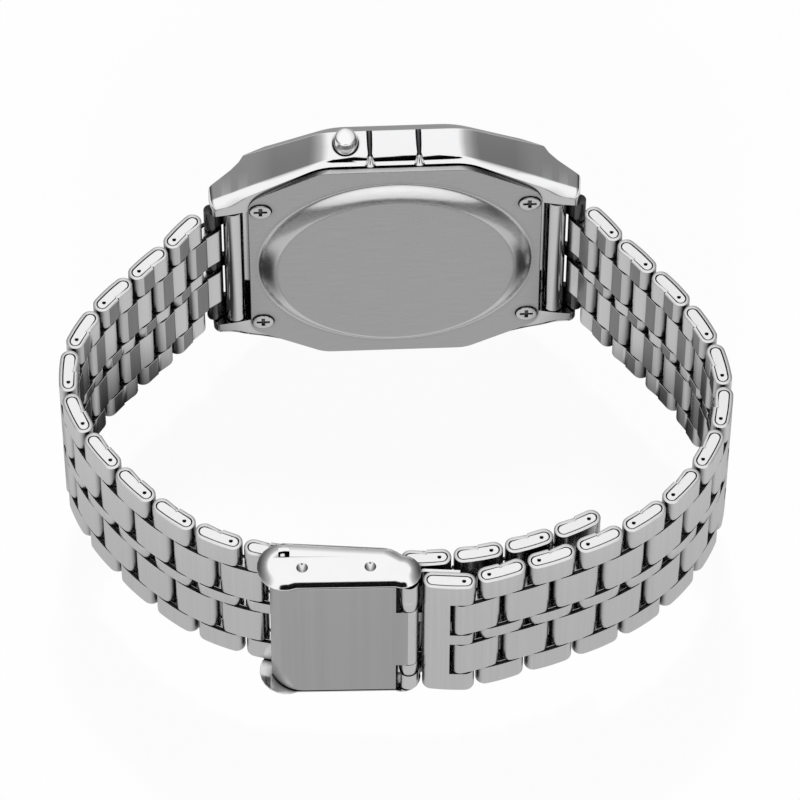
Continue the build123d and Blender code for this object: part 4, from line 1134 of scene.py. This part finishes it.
# Soft studio: a wide pale strip overhead, from behind the watch to low in front of it, that falls
# off to dark sides and a greyer horizon, a small dark patch in it, and large lamps. White to the
# camera itself, and dimmer to what light scatters.
patch_middle = Vector((0.02, -0.47, 0.88)).normalized()
lean_share = 0.45
fill_loss = 0.85
world = bpy.data.worlds.new("studio")
scene.world = world
world.use_nodes = True
tree = world.node_tree
place = add_node(tree, "TexCoord")["Generated"]
axes = add_node(tree, "SeparateXYZ", {"Vector": place})
aside = add_node(tree, "Math", {0: axes["X"]}, operation="ABSOLUTE")["Value"]
lean = {0: axes["Y"], 1: lean_share, 2: aside}
lean = add_node(tree, "Math", lean, operation="MULTIPLY_ADD")["Value"]
patch = add_node(tree, "VectorMath", {0: place, 1: patch_middle}, operation="DOT_PRODUCT")["Value"]
levels = []
for source, stops in (
    (lean, ((0.0, 1.0), (0.3, 1.0), (0.5, 0.48), (0.7, 0.27), (0.85, 0.16), (1.0, 0.05))),
    (axes["Z"], ((0.0, 0.7), (0.12, 0.8), (0.28, 0.95), (0.38, 1.0), (1.0, 1.0))),
    (patch, ((0.0, 1.0), (0.968, 1.0), (0.975, 0.0), (1.0, 0.0))),
):
    ramp = tree.nodes.new("ShaderNodeValToRGB")
    ramp.color_ramp.elements[1].position = stops[-1][0]
    for position, value in stops[1:-1]:
        ramp.color_ramp.elements.new(position)
    for stop, (position, value) in zip(ramp.color_ramp.elements, stops):
        stop.position = position
        stop.color = (value, value, value, 1)
    feed(tree, ramp, {"Fac": source})
    levels.append(ramp.outputs["Color"])
product = levels[0]
for level in levels[1:]:
    both = {"Factor": 1.0, "A": product, "B": level}
    product = add_node(tree, "Mix", both, data_type="RGBA", blend_type="MULTIPLY")["Result"]
rays = add_node(tree, "LightPath")
fill = {0: rays["Is Diffuse Ray"], 1: -fill_loss, 2: 1.0}
strength = add_node(tree, "Math", fill, operation="MULTIPLY_ADD")["Value"]
backdrop = tree.nodes["Background"]
feed(tree, backdrop, {"Strength": strength, "Color": product})
white = add_node(tree, "Background")["Background"]
mixed = {"Fac": rays["Is Camera Ray"], 1: backdrop.outputs["Background"], 2: white}
surface = add_node(tree, "MixShader", mixed)["Shader"]
feed(tree, tree.nodes["World Output"], {"Surface": surface})

aim = Vector((0, -0.02, 0))
for name, spot, size, power in (
    ("lamp_above", (0.0, 0.28, 0.58), 0.08, 3.2), ("lamp_front", (-0.05, -0.62, 0.34), 0.12, 3.0)
):
    light = bpy.data.lights.new(name, "AREA")
    light.size = size
    light.energy = power
    lamp = bpy.data.objects.new(name, light)
    lamp.location = spot
    lamp.rotation_euler = (aim - Vector(spot)).to_track_quat("-Z", "Y").to_euler()
    lamp.visible_glossy = False
    scene.collection.objects.link(lamp)

# Camera, fitted to points of the photograph: its place and its three directions, with a long lens
# and no depth of field.
lens = bpy.data.cameras.new("camera")
lens.sensor_width = 36.0
lens.lens = 302.15
lens.clip_end = 20.0
camera = bpy.data.objects.new("camera", lens)
stand = Vector((-15.196, -358.964, 529.148)) * mm
right = Vector((0.99919, -0.04008, 0.00233))
up = Vector((0.03231, 0.83732, 0.54576))
forward = Vector((0.02383, 0.54524, -0.83794))
turn = Matrix((right, up, -forward)).transposed().to_4x4()
camera.matrix_world = Matrix.Translation(stand) @ turn
scene.collection.objects.link(camera)
scene.camera = camera
scene.view_settings.view_transform = "Standard"
